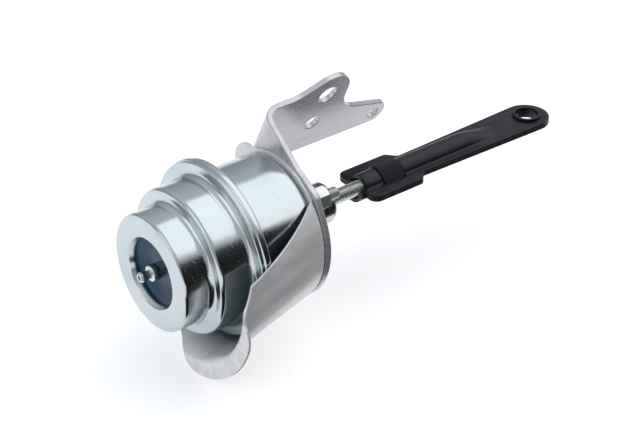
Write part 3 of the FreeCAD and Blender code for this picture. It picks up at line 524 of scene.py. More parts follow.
def nut_mesh(name, angle, turn):
    """A flange nut: a cone-shaped flange, and a hexagon whose corners are chamfered at the top."""
    seat = BASE_BACK
    top = seat + NUT_HEIGHT
    rows = [
        (seat, steady(NUT_BORE)),
        (seat, steady(NUT_FLANGE_R - 0.15)),
        (seat + 0.15, steady(NUT_FLANGE_R)),
        (seat + NUT_FLANGE, steady(NUT_FLANGE_R)),
    ]

    def side(x):
        cone = NUT_FLANGE_R - NUT_CONE_SLOPE * max(0.0, x - seat - NUT_FLANGE)
        chamfer = NUT_CORNER_R - NUT_CHAMFER_SLOPE * max(0.0, x - (top - NUT_CHAMFER))
        return lambda a: max(cone, min(hexagon(a, NUT_FLATS, turn), chamfer))

    rows += [(x, side(x)) for x in np.linspace(seat + NUT_FLANGE + 0.1, top, 34)]
    rows += [(top, steady(NUT_BORE + 0.35)), (top - 0.35, steady(NUT_BORE))]
    return at_stud(turned_grid(name, rows, 120), angle)


def make_fasteners():
    for place, angle in STUD_ANGLES.items():
        stud = stud_mesh("stud_thread_" + place, angle)
        finished("stud_thread_" + place, stud, "housing", "zinc_hardware", ["stud_" + place])
        nut = nut_mesh("nut_hex_" + place, angle, NUT_TURNS[place])
        hidden = ["nut_" + place]
        finished("nut_hex_" + place, nut, "housing", "zinc_hardware", hidden, NUT_SHARP_ANGLE)


# Heat shield: a sheet scoop with a flared lip, modelled towards -Z and turned about the axis

SHEET = 0.8
SHEET_EDGE = 0.16
SHIELD_TURN = -42.0
SHIELD_BACK = 48.9
SCOOP_COLUMNS = 121
SCOOP_GAP = 0.7
BOSS_HOLE_R = 7.6
STUD_HOLE_R = 2.25

LIP_BACK = 11.0
LIP_R = 38.8
LIP_HALF = 22.2
SCOOP_FLARE = 1.1

# The side edge: straight near the lip, then an arc up to the can's back

EDGE_BEND_X = 15.0
EDGE_BEND_DROP = 17.3
EDGE_SLOPE = 0.839
EDGE_ARC_X = -12.07
EDGE_ARC_R = 96.0
EDGE_ARC_RISE = 74.8

# The lip's rounded corners: each an arc about a point at this radius and angle

LIP_CORNER_START = 35.68
LIP_CORNER_AT = 31.8
LIP_CORNER_R = 7.0
LIP_CORNER_ANGLE = 28.55

DISC_LOW_R = 22.9
DISC_R = 24.8
DISC_END = 1.288
EAR_Y = 19.7
EAR_R = 8.0
EAR_END = 0.55


def shield_edge(x):
    """How far below the axis the shield's side edge runs at x."""
    if x >= CAN_BACK:
        return 0.0
    if x > EDGE_BEND_X:
        return math.sqrt(EDGE_ARC_R**2 - (x - EDGE_ARC_X) ** 2) - EDGE_ARC_RISE
    return EDGE_BEND_DROP + (EDGE_BEND_X - x) * EDGE_SLOPE


def shield_half_angle(x, r):
    """Half the angle that the shield spans at this place on its profile."""
    angle = math.acos(min(1.0, shield_edge(x) / r))
    half = LIP_HALF + max(0.0, x - LIP_BACK) * SCOOP_FLARE
    if half < r:
        angle = min(angle, math.asin(half / r))
    if x <= LIP_BACK + 0.01 and r > LIP_CORNER_START:
        near = (r * r + LIP_CORNER_AT**2 - LIP_CORNER_R**2) / (2 * LIP_CORNER_AT * r)
        angle = math.radians(LIP_CORNER_ANGLE) + math.acos(min(1.0, near))
    return angle


def skin_rim(rows, columns):
    """The numbers of a grid's outer points, in order around it."""
    first_side = [i * columns for i in range(rows)]
    far_end = [(rows - 1) * columns + j for j in range(1, columns)]
    other_side = [i * columns + columns - 1 for i in range(rows - 2, -1, -1)]
    near_end = list(range(columns - 2, 0, -1))
    return first_side + far_end + other_side + near_end


def scoop_mesh():
    """The shield's wall and lip: one skin, a second one a sheet's thickness inside, and a rim."""
    wall = [(SHIELD_BACK, 22.8), (SHIELD_BACK, 25.3, 2.0)]
    lip = [(LIP_BACK, 33.26, 2.5), (LIP_BACK, LIP_R)]
    profile = spread(rounded(wall + lip, False), SCOOP_GAP)
    outer, inner = [], []
    for number, (x, r) in enumerate(profile):
        x0, r0 = profile[max(0, number - 1)]
        x1, r1 = profile[min(len(profile) - 1, number + 1)]
        across = Vector((-(r1 - r0), x1 - x0)).normalized()
        xi, ri = x + across.x * SHEET, r + across.y * SHEET
        for j in range(SCOOP_COLUMNS):
            angle = shield_half_angle(x, r) * (2 * j / (SCOOP_COLUMNS - 1) - 1)
            outer.append((x, r * math.sin(angle), -r * math.cos(angle)))
            inner.append((xi, ri * math.sin(angle), -ri * math.cos(angle)))
    count = len(outer)
    faces = grid_faces(len(profile), SCOOP_COLUMNS)
    inside = grid_faces(len(profile), SCOOP_COLUMNS, first=count)
    faces += [tuple(reversed(face)) for face in inside]
    rim = skin_rim(len(profile), SCOOP_COLUMNS)
    for a, b in zip(rim, rim[1:] + rim[:1]):
        faces.append((a, b, b + count, a + count))
    return mesh_from("scoop", outer + inner, faces)


def disc_outline():
    """The shield's back: a disc whose lower half runs into the scoop, and an ear on top of it."""
    low = arc(0, 0, DISC_LOW_R, math.pi, math.tau, 61)
    right = arc(0, 0, DISC_R, 0, DISC_END, 22)
    ear = arc(0, EAR_Y, EAR_R, EAR_END, math.pi - EAR_END, 30)
    left = [(-x, y) for x, y in reversed(right)]
    return low[1:-1] + right + ear + left


def soften(mesh, width):
    """Bevel the mesh's sharp edges."""
    with editing(mesh) as shape:
        seams = [edge for edge in shape.edges if len(edge.link_faces) == 2]
        sharp = [edge for edge in seams if edge.calc_face_angle() > BEVEL_FOLD]
        bmesh.ops.bevel(
            shape,
            geom=sharp,
            offset=width * MM,
            segments=2,
            profile=0.5,
            affect="EDGES",
            clamp_overlap=True,
        )


def make_shield():
    scoop = scoop_mesh()
    soften(scoop, SHEET_EDGE)
    holes = [circle(0, 0, BOSS_HOLE_R)]
    for x in (-STUD_CIRCLE_R, STUD_CIRCLE_R):
        holes.append(circle(x, 0, STUD_HOLE_R, 24))
    disc = plate("shield_disc", [disc_outline()] + holes, SHEET, 0.15)
    moved(disc, lambda x, y, z: (CAN_BACK + z, x, y))
    mesh = turned(joined("shield_sheet", scoop, disc), SHIELD_TURN)
    finished("shield_sheet", mesh, "housing", "shield_steel", ["heat_shield"], FLAT_SHARP_ANGLE)


# Bracket: cut flat from thick plate, bent backwards along its right side, turned about the axis

PLATE = 2.0
BRACKET_TURN = 26.3
BASE_R = 25.5
BASE_ARC_END = 129.2
BASE_LOW = -3.1
BEND_Y = 17.4
BEND_R = 4.6
BEND_LENGTH = (BEND_R + PLATE / 2) * math.pi / 2
BEND_CUTS = 24
ARM_START = BASE_BACK + BEND_R
ARM_LOW = -1.1
ARM_END = 108.6
LOBE_END = 84.9
LOBE_TOP = 34.8
ARM_HOLES = ((76.3, 26.2, 3.5), (74.5, 12.6, 2.75), (103.6, 3.9, 2.3))


def on_flat(x):
    """Where an arm's place along X lies on the flat pattern."""
    return BEND_Y + BEND_LENGTH + (x - ARM_START)


def bracket_outline():
    start = math.atan2(BASE_LOW, 25.31)
    base = arc(0, 0, BASE_R, start, math.radians(BASE_ARC_END) - math.tau, 110)
    edge = [
        base[-1],
        (-9.4, 25.1, 6.0),
        (2.1, 25.8, 6.0),
        (BEND_Y, 29.3, 3.0),
        (on_flat(63.7), 29.6, 10.0),
        (on_flat(74.6), LOBE_TOP, 7.5),
        (on_flat(LOBE_END), LOBE_TOP, 8.3),
        (on_flat(LOBE_END), 15.56, 11.0),
        (on_flat(ARM_END), 7.5, 4.5),
        (on_flat(ARM_END), ARM_LOW, 4.5),
        (BEND_Y, ARM_LOW, 0.5),
        (BEND_Y, BASE_LOW, 0.5),
        base[0],
    ]
    return base[:-1] + rounded(edge, False)[:-1]


def bent(u, v, w):
    """Bend the flat pattern: u across, v up, w from the inner face outwards."""
    if u <= BEND_Y or v < (ARM_LOW + BASE_LOW) / 2:
        return BASE_BACK - w, u, v
    along = u - BEND_Y
    if along < BEND_LENGTH:
        turn = along / BEND_LENGTH * math.pi / 2
        reach = BEND_R + w
        return ARM_START - reach * math.cos(turn), BEND_Y + reach * math.sin(turn), v
    return ARM_START + along - BEND_LENGTH, BEND_Y + BEND_R + w, v


def make_bracket():
    holes = [circle(0, 0, BOSS_HOLE_R, 64)]
    for angle in STUD_ANGLES.values():
        holes.append(circle(*at_angle(STUD_CIRCLE_R, angle - BRACKET_TURN), STUD_HOLE_R, 28))
    holes += [circle(on_flat(x), y, radius) for x, y, radius in ARM_HOLES]
    mesh = plate("bracket_plate", [bracket_outline()] + holes, PLATE, 0.3)
    with editing(mesh) as shape:
        for step in range(BEND_CUTS + 1):
            place = ((BEND_Y + BEND_LENGTH * step / BEND_CUTS) * MM, 0, 0)
            parts = shape.verts[:] + shape.edges[:] + shape.faces[:]
            bmesh.ops.bisect_plane(shape, geom=parts, dist=1e-7, plane_co=place, plane_no=(1, 0, 0))
    turned(moved(mesh, bent), BRACKET_TURN)
    finished("bracket_plate", mesh, "housing", "bracket_steel", ["bracket"], FLAT_SHARP_ANGLE)


# Rod end: two stamped halves, face to face in the plane z = 0, each a plate with a half pipe that
# is wrapped around the rod, stops at the nut's window and fades into the plate before the eye

STAMP = 1.1
PIPE_R = 4.4
PIPE_BORE = PIPE_R - STAMP
PIPE_STEPS = 48
FILLET = 0.9
SINK = 0.02
WINDOW = (89.7, 99.3)
WINDOW_SIDE = 5.6
BORE_END = 129.5
FADE_START = 126.0
FADE_END = 147.0
UPPER_MOUTH = 83.0
LOWER_MOUTH = 80.0
PLATE_START = 81.5
WIDE_HALF = 10.2
WIDE_END = 102.4
ARM_X = 105.4
ARM_HALF = 6.6
EYE_X = 159.5
EYE_R = 8.0
EYE_TANGENT = 91.4
EYE_BORE = 4.42


def mirrored(corners):
    """The same (x, y, ...) corners on the other side of the axis, in the other order."""
    return [(x, -y, *bend) for x, y, *bend in reversed(corners)]


def rod_end_outline():
    """The plate's edge, which runs in at the mouth, around the nut's window and along the bore."""
    low, high = WINDOW
    tangent = math.radians(EYE_TANGENT)
    eye = arc(EYE_X, 0, EYE_R, tangent, -tangent, 56)
    corners = [
        (PLATE_START, PIPE_BORE),
        (PLATE_START, WIDE_HALF, 3.0),
        (WIDE_END, WIDE_HALF, 2.0),
        (ARM_X, ARM_HALF, 2.0),
        eye[0],
    ]
    upper = rounded(corners, False, 0.3)
    lower = mirrored(upper)
    slot = [
        (BORE_END, PIPE_BORE, 3.0),
        (high, PIPE_BORE, 0.3),
        (high, WINDOW_SIDE, 0.8),
        (low, WINDOW_SIDE, 0.8),
        (low, PIPE_BORE, 0.3),
    ]
    inside = rounded([lower[-1]] + mirrored(slot) + slot + [upper[0]], False)
    return upper + eye[1:-1] + lower + inside[1:-1]


def pipe_height(y):
    """Height of the pipe's outside above the joint face, with a fillet where it meets the plate."""
    reach = math.sqrt((PIPE_R + FILLET) ** 2 - (STAMP + FILLET) ** 2)
    if abs(y) >= reach:
        return STAMP
    if abs(y) > reach * PIPE_R / (PIPE_R + FILLET):
        return STAMP + FILLET - math.sqrt(FILLET**2 - (reach - abs(y)) ** 2)
    return math.sqrt(PIPE_R**2 - y * y)


def pipe_section(scale, rise):
    """Half a pipe's skin, outside and back inside; the rise flattens it, at 0 into the plate."""
    outside = []
    for k in range(PIPE_STEPS + 1):
        y = (PIPE_R + FILLET) * math.cos(math.pi * k / PIPE_STEPS)
        outside.append((y * scale, STAMP + (pipe_height(y) - STAMP) * rise - SINK))
    inside = []
    for k in range(PIPE_STEPS + 1):
        t = math.pi * (1 - k / PIPE_STEPS)
        inside.append((PIPE_BORE * scale * math.cos(t), PIPE_BORE * rise * math.sin(t)))
    return outside + inside


def pipe_mesh(name, places):
    """Loft a half pipe through (x, scale, rise) places."""
    sections = [(x, pipe_section(scale, rise)) for x, scale, rise in places]
    points = [(x, y, z) for x, section in sections for y, z in section]
    columns = len(sections[0][1])
    faces = grid_faces(len(places), columns, ring_columns=True)
    faces.append(tuple(range(columns)))
    faces.append(tuple(reversed(range((len(places) - 1) * columns, len(places) * columns))))
    return mesh_from(name, points, faces)


def broken_end(x, inwards):
    """The places of a pipe's end, where its edge is broken."""
    return [(x, 0.98, 0.95), (x + inwards, 1, 1)]


def pipe_places():
    """The pipe from the window on, and its end that fades into the plate."""
    places = broken_end(WINDOW[1], 0.2) + [(FADE_START, 1, 1)]
    for t in np.linspace(0, 1, 25)[1:]:
        rise = 0.5 + 0.5 * math.cos(math.pi * t)
        places.append((FADE_START + (FADE_END - FADE_START) * t, 1 - 0.3 * t * t, rise))
    return places


def rod_end_half(name, mouth_x, flip):
    flat = plate(name + "_plate", [rod_end_outline(), circle(EYE_X, 0, EYE_BORE)], STAMP, 0.25)
    collar = broken_end(mouth_x, 0.2) + broken_end(WINDOW[0], -0.2)[::-1]
    collar_mesh = pipe_mesh(name + "_collar", collar)
    mesh = joined(name, flat, collar_mesh, pipe_mesh(name + "_pipe", pipe_places()))
    if flip:
        moved(mesh, lambda x, y, z: (x, y, -z))
        mesh.flip_normals()
    return mesh


def make_rod_end():
    upper = rod_end_half("rod_end_top", UPPER_MOUTH, False)
    lower = rod_end_half("rod_end_bottom", LOWER_MOUTH, True)
    finished("rod_end_top", upper, "rod_end", "black_steel", ["rod_end_upper"], FLAT_SHARP_ANGLE)
    finished("rod_end_bottom", lower, "rod_end", "black_steel", ["rod_end_lower"], FLAT_SHARP_ANGLE)


# Eyelet of the rod end

BUSH_HALF = 2.0
BUSH_BORE = 4.0
BUSH_R = 4.4
BUSH_RIM_R = 5.0


def make_bush():
    """The eyelet: its rims lie on the plates' outer faces."""
    upper = [
        (STAMP, BUSH_R, 0.05),
        (STAMP, BUSH_RIM_R, 0.1),
        (BUSH_HALF, BUSH_RIM_R, 0.3),
        (BUSH_HALF, BUSH_BORE, 0.2),
    ]
    lower = [(-z, r, bend) for z, r, bend in reversed(upper)]
    mesh = lathe("eye_bush", rounded(lower + upper), 96)
    moved(mesh, lambda x, y, z: (EYE_X + z, y, x))
    finished("eye_bush", mesh, "rod_end", "black_steel", ["end_bush"])


# Knurled nut in the rod end's window

KNOB_START = 90.0
KNOB_END = 99.0
KNOB_R = 5.2
KNOB_FACE_R = 4.3
KNOB_BORE = 2.6
KNOB_CHAMFER = 0.7
KNURL_RIDGES = 34
KNURL_CUT = 0.34
KNURL_PITCH = math.tau * KNOB_R / KNURL_RIDGES * 1.5


def knurl(x, angle):
    """How deep a diamond knurl is cut: two crossing sets of grooves."""
    turn = angle / math.tau * KNURL_RIDGES
    one = abs(((x / KNURL_PITCH + turn) % 1) * 2 - 1)
    two = abs(((x / KNURL_PITCH - turn) % 1) * 2 - 1)
    return KNURL_CUT * max(one, two)


def make_knurled_nut():
    def skin(x):
        cap = KNOB_R - max(0.0, KNOB_CHAMFER - (x - KNOB_START), KNOB_CHAMFER - (KNOB_END - x))
        return lambda angle: min(cap, KNOB_R - knurl(x, angle))

    rows = [(KNOB_START, steady(KNOB_BORE)), (KNOB_START, steady(KNOB_FACE_R))]
    rows += [(x, skin(x)) for x in np.linspace(KNOB_START + 0.05, KNOB_END - 0.05, 110)]
    rows += [(KNOB_END, steady(KNOB_FACE_R)), (KNOB_END, steady(KNOB_BORE))]
    mesh = turned_grid("knurled_nut", rows, KNURL_RIDGES * 10)
    hidden = ["adjuster_nut"]
    finished("knurled_nut", mesh, "adjuster", "black_steel", hidden, KNURL_SHARP_ANGLE)


# Inside: the spring and the diaphragm, as copies of their CAD nodes


def shaped_as(name, node, slot):
    """A piece with the shape of the CAD node it stands for, shown in that node's place."""
    piece = bpy.data.objects.new(name, NODES[node].data.copy())
    bpy.context.collection.objects.link(piece)
    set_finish(piece, slot)
    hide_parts(node)
    return piece


def make_soft_parts():
    spring = shaped_as("spring_coil", "return_spring", "spring_steel")
    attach(spring, "housing")
    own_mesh(spring)
    diaphragm = shaped_as("rolling_diaphragm", "diaphragm", "rubber")
    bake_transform(diaphragm)


# Materials


def set_stops(ramp, stops):
    """Give a colour ramp its (place, colour) stops; a plain number is a grey."""
    elements = ramp.color_ramp.elements
    for number, (place, colour) in enumerate(stops):
        element = elements[number] if number < 2 else elements.new(place)
        element.position = place
        grey = isinstance(colour, (int, float))
        element.color = (colour, colour, colour, 1) if grey else (*colour, 1)


class Shader:
    """A material's node tree, with short calls to add and link nodes."""

    def __init__(self, name):
        self.material = bpy.data.materials.new(name)
        self.material.use_nodes = True
        self.tree = self.material.node_tree
        self.base = self.tree.nodes["Principled BSDF"]
        self.output = self.tree.nodes["Material Output"]
        coordinates = self.add("ShaderNodeTexCoord")
        self.place = coordinates.outputs["Object"]
        self.normal = coordinates.outputs["Normal"]

    def add(self, kind, **values):
        node = self.tree.nodes.new(kind)
        for key, value in values.items():
            setattr(node, key, value)
        return node

    def link(self, source, target):
        self.tree.links.new(source, target)

    def feed(self, socket, value):
        """Link a socket to a node's output, or set it to a number or a colour."""
        if isinstance(value, (int, float)):
            socket.default_value = value
        elif isinstance(value, tuple):
            socket.default_value = (*value, 1)
        else:
            self.link(value, socket)

    def math(self, operation, a, b=0.0, clamp=False):
        node = self.add("ShaderNodeMath", operation=operation, use_clamp=clamp)
        self.feed(node.inputs[0], a)
        self.feed(node.inputs[1], b)
        return node.outputs[0]

    def times(self, a, b):
        return self.math("MULTIPLY", a, b)

    def stretched(self, scale):
        node = self.add("ShaderNodeMapping")
        node.inputs["Scale"].default_value = scale
        self.link(self.place, node.inputs["Vector"])
        return node.outputs[0]

    def noise(self, scale, detail=3.0, stretch=(1, 1, 1)):
        node = self.add("ShaderNodeTexNoise")
        node.inputs["Scale"].default_value = scale
        node.inputs["Detail"].default_value = detail
        node.inputs["Roughness"].default_value = 0.55
        self.link(self.stretched(stretch), node.inputs["Vector"])
        return node.outputs["Fac"]

    def cells(self, scale):
        node = self.add("ShaderNodeTexVoronoi")
        node.inputs["Scale"].default_value = scale
        self.link(self.place, node.inputs["Vector"])
        return node.outputs["Distance"]

    def steps(self, value, *stops):
        """A colour ramp through (place, colour) stops."""
        ramp = self.add("ShaderNodeValToRGB")
        set_stops(ramp, stops)
        self.link(value, ramp.inputs[0])
        return ramp.outputs[0]

    def mix(self, factor, a, b, blend="MIX"):
        node = self.add("ShaderNodeMix", data_type="RGBA", blend_type=blend)
        self.feed(node.inputs[0], factor)
        self.feed(node.inputs[6], a)
        self.feed(node.inputs[7], b)
        return node.outputs[2]

    def part(self, vector, index):
        """A vector's part along X, Y or Z."""
        node = self.add("ShaderNodeSeparateXYZ")
        self.link(vector, node.inputs[0])
        return node.outputs[index]

    def along_axis(self):
        """The place along the actuator's axis, in metres."""
        return self.part(self.place, 0)

    def radius(self):
        """Distance from the actuator's axis, in metres."""
        across = [self.part(self.place, k) for k in (1, 2)]
        return self.math("SQRT", self.math("ADD", *[self.times(c, c) for c in across]))

    def facing_axis(self):
        """1 on the faces that look towards the actuator's axis, 0 on those that look away."""
        products = [self.times(self.part(self.place, k), self.part(self.normal, k)) for k in (1, 2)]
        outwards = self.math("DIVIDE", self.math("ADD", *products), self.radius())
        return self.math("MULTIPLY", outwards, -1.5, clamp=True)

    def below(self, place, limit, soft):
        """1 where a place in metres lies below the limit in millimetres, 0 above it."""
        return self.math("DIVIDE", self.math("SUBTRACT", limit * MM, place), soft * MM, clamp=True)

    def edges(self, low, high):
        """1 on sharp outer edges, 0 elsewhere."""
        node = self.add("ShaderNodeNewGeometry")
        return self.steps(node.outputs["Pointiness"], (low, 0.0), (high, 1.0))

    def bump(self, strength, distance, height, under=None):
        node = self.add("ShaderNodeBump")
        node.inputs["Strength"].default_value = strength
        node.inputs["Distance"].default_value = distance
        self.link(height, node.inputs["Height"])
        if under is not None:
            self.link(under, node.inputs["Normal"])
        return node.outputs[0]

    def finish(self, colour, roughness, normal, metallic=1.0):
        self.link(colour, self.base.inputs["Base Color"])
        self.link(roughness, self.base.inputs["Roughness"])
        self.link(normal, self.base.inputs["Normal"])
        self.base.inputs["Metallic"].default_value = metallic
        return self.material


def bright_zinc():
    """Drawn steel with bright zinc: bluish, near mirror, with drawing rings and a blue recess."""
    s = Shader("bright_zinc")
    light, middle, dark = (0.61, 0.64, 0.64), (0.55, 0.61, 0.64), (0.47, 0.54, 0.58)
    colour = s.steps(s.noise(38, 3), (0.30, dark), (0.50, middle), (0.72, light))
    # Darker blue in the recess, clouded by noise.
    recess = s.times(s.below(s.radius(), 11.4, 0.4), s.below(s.along_axis(), 3.0, 0.5))
    recess_blue = s.steps(s.noise(160, 4), (0.35, (0.0, 0.014, 0.040)), (0.65, (0.002, 0.036, 0.076)))
    colour = s.mix(recess, colour, recess_blue)
    specks = s.steps(s.cells(1250), (0.06, 1.0), (0.20, 0.0))
    specks = s.times(specks, s.steps(s.noise(95, 3), (0.50, 0.0), (0.60, 1.0)))
    colour = s.mix(s.times(specks, 0.35), colour, (0.40, 0.44, 0.47))
    rings = s.noise(40, 4, (30, 1, 1))
    rough = s.steps(s.noise(70, 5), (0.30, 0.10), (0.75, 0.22))
    rough = s.math("ADD", rough, s.times(specks, 0.45))
    rough = s.math("ADD", rough, s.times(rings, 0.05))
    normal = s.bump(0.22, 0.0003, s.noise(60, 3))
    normal = s.bump(0.06, 0.0001, rings, normal)
    normal = s.bump(0.40, 0.00006, specks, normal)
    normal = s.bump(0.14, 0.00005, s.noise(2200, 2), normal)
    return s.finish(colour, rough, normal)


def turned_zinc(name, tint, rough_low, rough_high, metallic):
    """Turned steel with a thin zinc coat: fine rings, a painted highlight on the edges and painted
    shade in the hollows.
    """
    s = Shader(name)
    low = tuple(c * 0.86 for c in tint)
    colour = s.steps(s.noise(300, 4), (0.30, low), (0.70, tint))
    # Painted highlight: sharp outer edges are lightened towards near white.
    colour = s.mix(s.times(s.edges(0.52, 0.62), 0.5), colour, (0.92, 0.92, 0.90))
    # Painted shade: hollows such as thread roots and creases are darkened to near black.
    colour = s.mix(s.edges(0.43, 0.49), (0.10, 0.12, 0.12), colour)
    rough = s.steps(s.noise(500, 3), (0.30, rough_low), (0.70, rough_high))
    normal = s.bump(0.08, 0.00006, s.noise(900, 2, (3, 0.4, 0.4)))
    normal = s.bump(0.06, 0.00004, s.noise(2200, 2), normal)
    return s.finish(colour, rough, normal, metallic)


def sheet_steel(name, light, dark, streak, rough_low, rough_high, edge_highlight, metallic, cavity_shade):
    """Rolled sheet: long streaks, soft clouds, a painted highlight on its edges, and painted shade
    on the inside of a cavity.
    """
    s = Shader(name)
    colour = s.steps(s.noise(30, 4), (0.30, dark), (0.70, light))
    streaks = s.noise(260, 4, streak)
    colour = s.mix(1.0, colour, s.steps(streaks, (0.35, 0.82), (0.65, 1.0)), "MULTIPLY")
    # Painted highlight: sharp outer edges are lightened, as much as the edge factor says.
    colour = s.mix(s.times(s.edges(0.52, 0.60), edge_highlight), colour, (0.78, 0.78, 0.76))
    # Painted shade: faces that look towards the axis, behind x = 21 mm, are darkened towards dark
    # teal, as the shield's cavity lies in shadow.
    if cavity_shade:
        deep = s.math("SUBTRACT", 1.0, s.below(s.along_axis(), 21.0, 8.0))
        inside = s.times(s.facing_axis(), deep)
        colour = s.mix(s.times(inside, cavity_shade), colour, (0.06, 0.10, 0.10))
    rough = s.steps(streaks, (0.30, rough_low), (0.70, rough_high))
    normal = s.bump(0.05, 0.00006, streaks)
    normal = s.bump(0.05, 0.0004, s.noise(45, 2), normal)
    return s.finish(colour, rough, normal, metallic)


def black_steel():
    """Black phosphate: a satin blue-black skin with a fine grain, rubbed grey on the edges."""
    s = Shader("black_steel")
    light, dark = (0.008, 0.010, 0.016), (0.003, 0.004, 0.007)
    colour = s.steps(s.noise(150, 5), (0.30, dark), (0.70, light))
    specks = s.steps(s.cells(1500), (0.04, 1.0), (0.12, 0.0))
    specks = s.times(specks, s.steps(s.noise(200, 2), (0.58, 0.0), (0.66, 1.0)))
    colour = s.mix(s.times(specks, 0.4), colour, (0.08, 0.09, 0.10))
    worn = s.times(s.edges(0.53, 0.62), s.steps(s.noise(260, 4), (0.45, 0.0), (0.60, 1.0)))
    colour = s.mix(s.times(worn, 0.5), colour, (0.10, 0.11, 0.12))
    rough = s.steps(s.noise(420, 4), (0.30, 0.30), (0.70, 0.42))
    normal = s.bump(0.10, 0.0002, s.noise(120, 3))
    normal = s.bump(0.22, 0.00004, s.noise(2600, 2), normal)
    s.base.inputs["Specular IOR Level"].default_value = 0.35
    return s.finish(colour, rough, normal, 0.0)


def plain(name, low, high, rough_low, rough_high, metallic):
    """A simple inner material with clouded colour, roughness and a fine grain."""
    s = Shader(name)
    colour = s.steps(s.noise(200, 4), (0.30, low), (0.70, high))
    rough = s.steps(s.noise(400, 3), (0.30, rough_low), (0.70, rough_high))
    normal = s.bump(0.2, 0.0001, s.noise(1200, 2))
    return s.finish(colour, rough, normal, metallic)


def make_materials():
    shield = sheet_steel(
        "shield_steel",
        light=(0.92, 0.92, 0.91),
        dark=(0.85, 0.85, 0.85),
        streak=(0.12, 1.0, 1.0),
        rough_low=0.28,
        rough_high=0.42,
        edge_highlight=0.4,
        metallic=0.5,
        cavity_shade=0.85,
    )
    bracket = sheet_steel(
        "bracket_steel",
        light=(0.66, 0.65, 0.68),
        dark=(0.58, 0.57, 0.60),
        streak=(0.15, 1.0, 0.8),
        rough_low=0.22,
        rough_high=0.34,
        edge_highlight=0.5,
        metallic=0.7,
        cavity_shade=0.0,
    )
    grey, light_grey = (0.42, 0.42, 0.42), (0.58, 0.58, 0.57)
    dark_grey, middle_grey = (0.20, 0.20, 0.21), (0.36, 0.36, 0.37)
    bronze, light_bronze = (0.45, 0.28, 0.10), (0.62, 0.42, 0.18)
    black, soft_black = (0.012, 0.012, 0.013), (0.03, 0.03, 0.03)
    return {
        "bright_zinc": bright_zinc(),
        "turned_zinc": turned_zinc("turned_zinc", (0.70, 0.73, 0.72), 0.18, 0.32, 1.0),
        "zinc_hardware": turned_zinc("zinc_hardware", (0.72, 0.75, 0.70), 0.20, 0.32, 0.85),
        "shield_steel": shield,
        "bracket_steel": bracket,
        "black_steel": black_steel(),
        "plain_steel": plain("plain_steel", grey, light_grey, 0.28, 0.42, 1.0),
        "spring_steel": plain("spring_steel", dark_grey, middle_grey, 0.25, 0.40, 1.0),
        "bush_bronze": plain("bush_bronze", bronze, light_bronze, 0.25, 0.40, 1.0),
        "rubber": plain("rubber", black, soft_black, 0.55, 0.75, 0.0),
    }


# The CAD nodes that show as they are, deep inside

CAD_SLOTS = {
    "piston_cup": "plain_steel",
    "diaphragm_retainer": "plain_steel",
    "guide_bush": "bush_bronze",
    "rod_seal": "rubber",
}


def paint(materials):
    for piece in bpy.data.objects:
        if piece.type == "MESH" and piece.get("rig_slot") in materials:
            if piece.data.materials:
                for slot in piece.material_slots:
                    slot.material = materials[piece["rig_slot"]]
            else:
                piece.data.materials.append(materials[piece["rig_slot"]])
    for node, slot_name in CAD_SLOTS.items():
        for slot in NODES[node].material_slots:
            slot.material = materials[slot_name]


# Studio, in metres: camera, lamps, floor, and cards that only the metal sees

CAMERA_PLACE = (-0.2404, -0.3866, 0.3022)
CAMERA_AIM = (0.06282, -0.00465, 0.0)
LAMP_AIM = (0.03, 0, 0)
FLOOR_GLOW = 0.42
CARD_GREY = (0.012, 0.012, 0.012, 1)

# The sky's colour from below, past the horizon at one half, to the top

SKY = (
    (0.40, (0.30, 0.30, 0.31)),
    (0.55, (0.34, 0.36, 0.38)),
    (0.75, (0.52, 0.54, 0.57)),
    (1.0, (0.70, 0.72, 0.76)),
)


def facing(place, aim, front):
    """The turn that points a thing's front axis from its place to its aim."""
    return (Vector(aim) - Vector(place)).to_track_quat(front, "Y").to_euler()


def make_camera():
    data = bpy.data.cameras.new("camera")
    data.lens = 100
    data.sensor_width = 36
    data.clip_start = 0.01
    camera = bpy.data.objects.new("camera", data)
    bpy.context.collection.objects.link(camera)
    camera.location = CAMERA_PLACE
    camera.rotation_euler = facing(CAMERA_PLACE, CAMERA_AIM, "-Z")
    bpy.context.scene.camera = camera


def soft_light(name, place, size, glow):
    """A rectangular lamp whose face shines at the given level, where 1 is white."""
    data = bpy.data.lights.new(name, "AREA")
    data.shape = "RECTANGLE"
    data.size, data.size_y = size
    data.energy = glow * math.pi * size[0] * size[1]
    light = bpy.data.objects.new(name, data)
    bpy.context.collection.objects.link(light)
    light.location = place
    light.rotation_euler = facing(place, LAMP_AIM, "-Z")


def stage_plane(name, size, place):
    mesh = bpy.data.meshes.new(name)
    w, h = size[0] / 2, size[1] / 2
    mesh.from_pydata([(-w, -h, 0), (w, -h, 0), (w, h, 0), (-w, h, 0)], [], [(0, 1, 2, 3)])
    piece = bpy.data.objects.new(name, mesh)
    bpy.context.collection.objects.link(piece)
    piece.location = place
    return piece


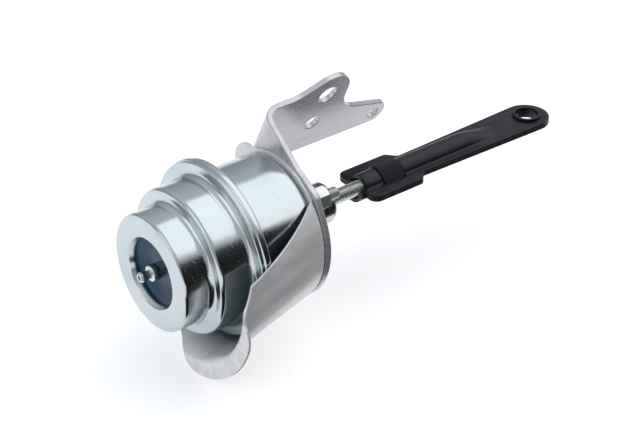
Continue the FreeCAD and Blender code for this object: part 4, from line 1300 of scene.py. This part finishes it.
def make_floor():
    """A white floor that also glows to the camera and in the metal, so that it stays white."""
    floor = stage_plane("floor", (6, 6), (0.05, 0, cad_box[0][2] - 0.0002))
    s = Shader("floor")
    s.link(s.steps(s.noise(6, 2), (0.3, 0.86), (0.7, 0.88)), s.base.inputs["Base Color"])
    s.base.inputs["Roughness"].default_value = 0.9
    s.base.inputs["Specular IOR Level"].default_value = 0.1
    glow = s.add("ShaderNodeEmission")
    glow.inputs["Color"].default_value = (1, 1, 1, 1)
    glow.inputs["Strength"].default_value = FLOOR_GLOW
    both = s.add("ShaderNodeAddShader")
    s.link(s.base.outputs[0], both.inputs[0])
    s.link(glow.outputs[0], both.inputs[1])
    path = s.add("ShaderNodeLightPath")
    seen = s.math("MAXIMUM", path.outputs["Is Camera Ray"], path.outputs["Is Glossy Ray"])
    seen = s.math("MAXIMUM", seen, path.outputs["Is Transmission Ray"])
    pick = s.add("ShaderNodeMixShader")
    s.link(seen, pick.inputs[0])
    s.link(s.base.outputs[0], pick.inputs[1])
    s.link(both.outputs[0], pick.inputs[2])
    s.link(pick.outputs[0], s.output.inputs["Surface"])
    floor.data.materials.append(s.material)


def make_card(name, size, place, aim=None):
    """A dark card that only shows in the metal, like a flag beside a studio table."""
    card = stage_plane(name, size, place)
    if aim is not None:
        card.rotation_euler = facing(place, aim, "Z")
    s = Shader(name)
    glow = s.add("ShaderNodeEmission")
    glow.inputs["Color"].default_value = CARD_GREY
    s.link(glow.outputs[0], s.output.inputs["Surface"])
    card.data.materials.append(s.material)
    card.visible_camera = False
    card.visible_diffuse = False
    card.visible_shadow = False
    card.visible_transmission = False


def make_world():
    world = bpy.data.worlds.new("studio")
    bpy.context.scene.world = world
    world.use_nodes = True
    tree = world.node_tree
    back = tree.nodes["Background"]
    place = tree.nodes.new("ShaderNodeTexCoord")
    parts = tree.nodes.new("ShaderNodeSeparateXYZ")
    tree.links.new(place.outputs["Generated"], parts.inputs[0])
    lift = tree.nodes.new("ShaderNodeMath")
    lift.operation = "MULTIPLY_ADD"
    lift.inputs[1].default_value = 0.5
    lift.inputs[2].default_value = 0.5
    tree.links.new(parts.outputs[2], lift.inputs[0])
    ramp = tree.nodes.new("ShaderNodeValToRGB")
    set_stops(ramp, SKY)
    tree.links.new(lift.outputs[0], ramp.inputs[0])
    tree.links.new(ramp.outputs[0], back.inputs["Color"])
    back.inputs["Strength"].default_value = 1.0


def make_studio():
    make_camera()
    make_world()
    make_floor()
    soft_light("overhead", (0.36, -0.10, 0.52), (0.80, 0.75), 0.78)
    soft_light("left", (-0.60, 0.05, 0.35), (0.50, 0.50), 0.8)
    make_card("flag_low", (0.72, 0.64), (0.31, -0.346, -0.030))
    make_card("flag_side", (1.50, 0.56), (0.35, -0.68, 0.19), (0.35, 0, 0.19))


make_front_cover()
make_nipple()
make_rear_can()
make_boss()
make_rod()
make_fasteners()
make_shield()
make_bracket()
make_rod_end()
make_bush()
make_knurled_nut()
make_soft_parts()
paint(make_materials())
make_studio()
view = bpy.context.scene.view_settings
view.view_transform = "Standard"
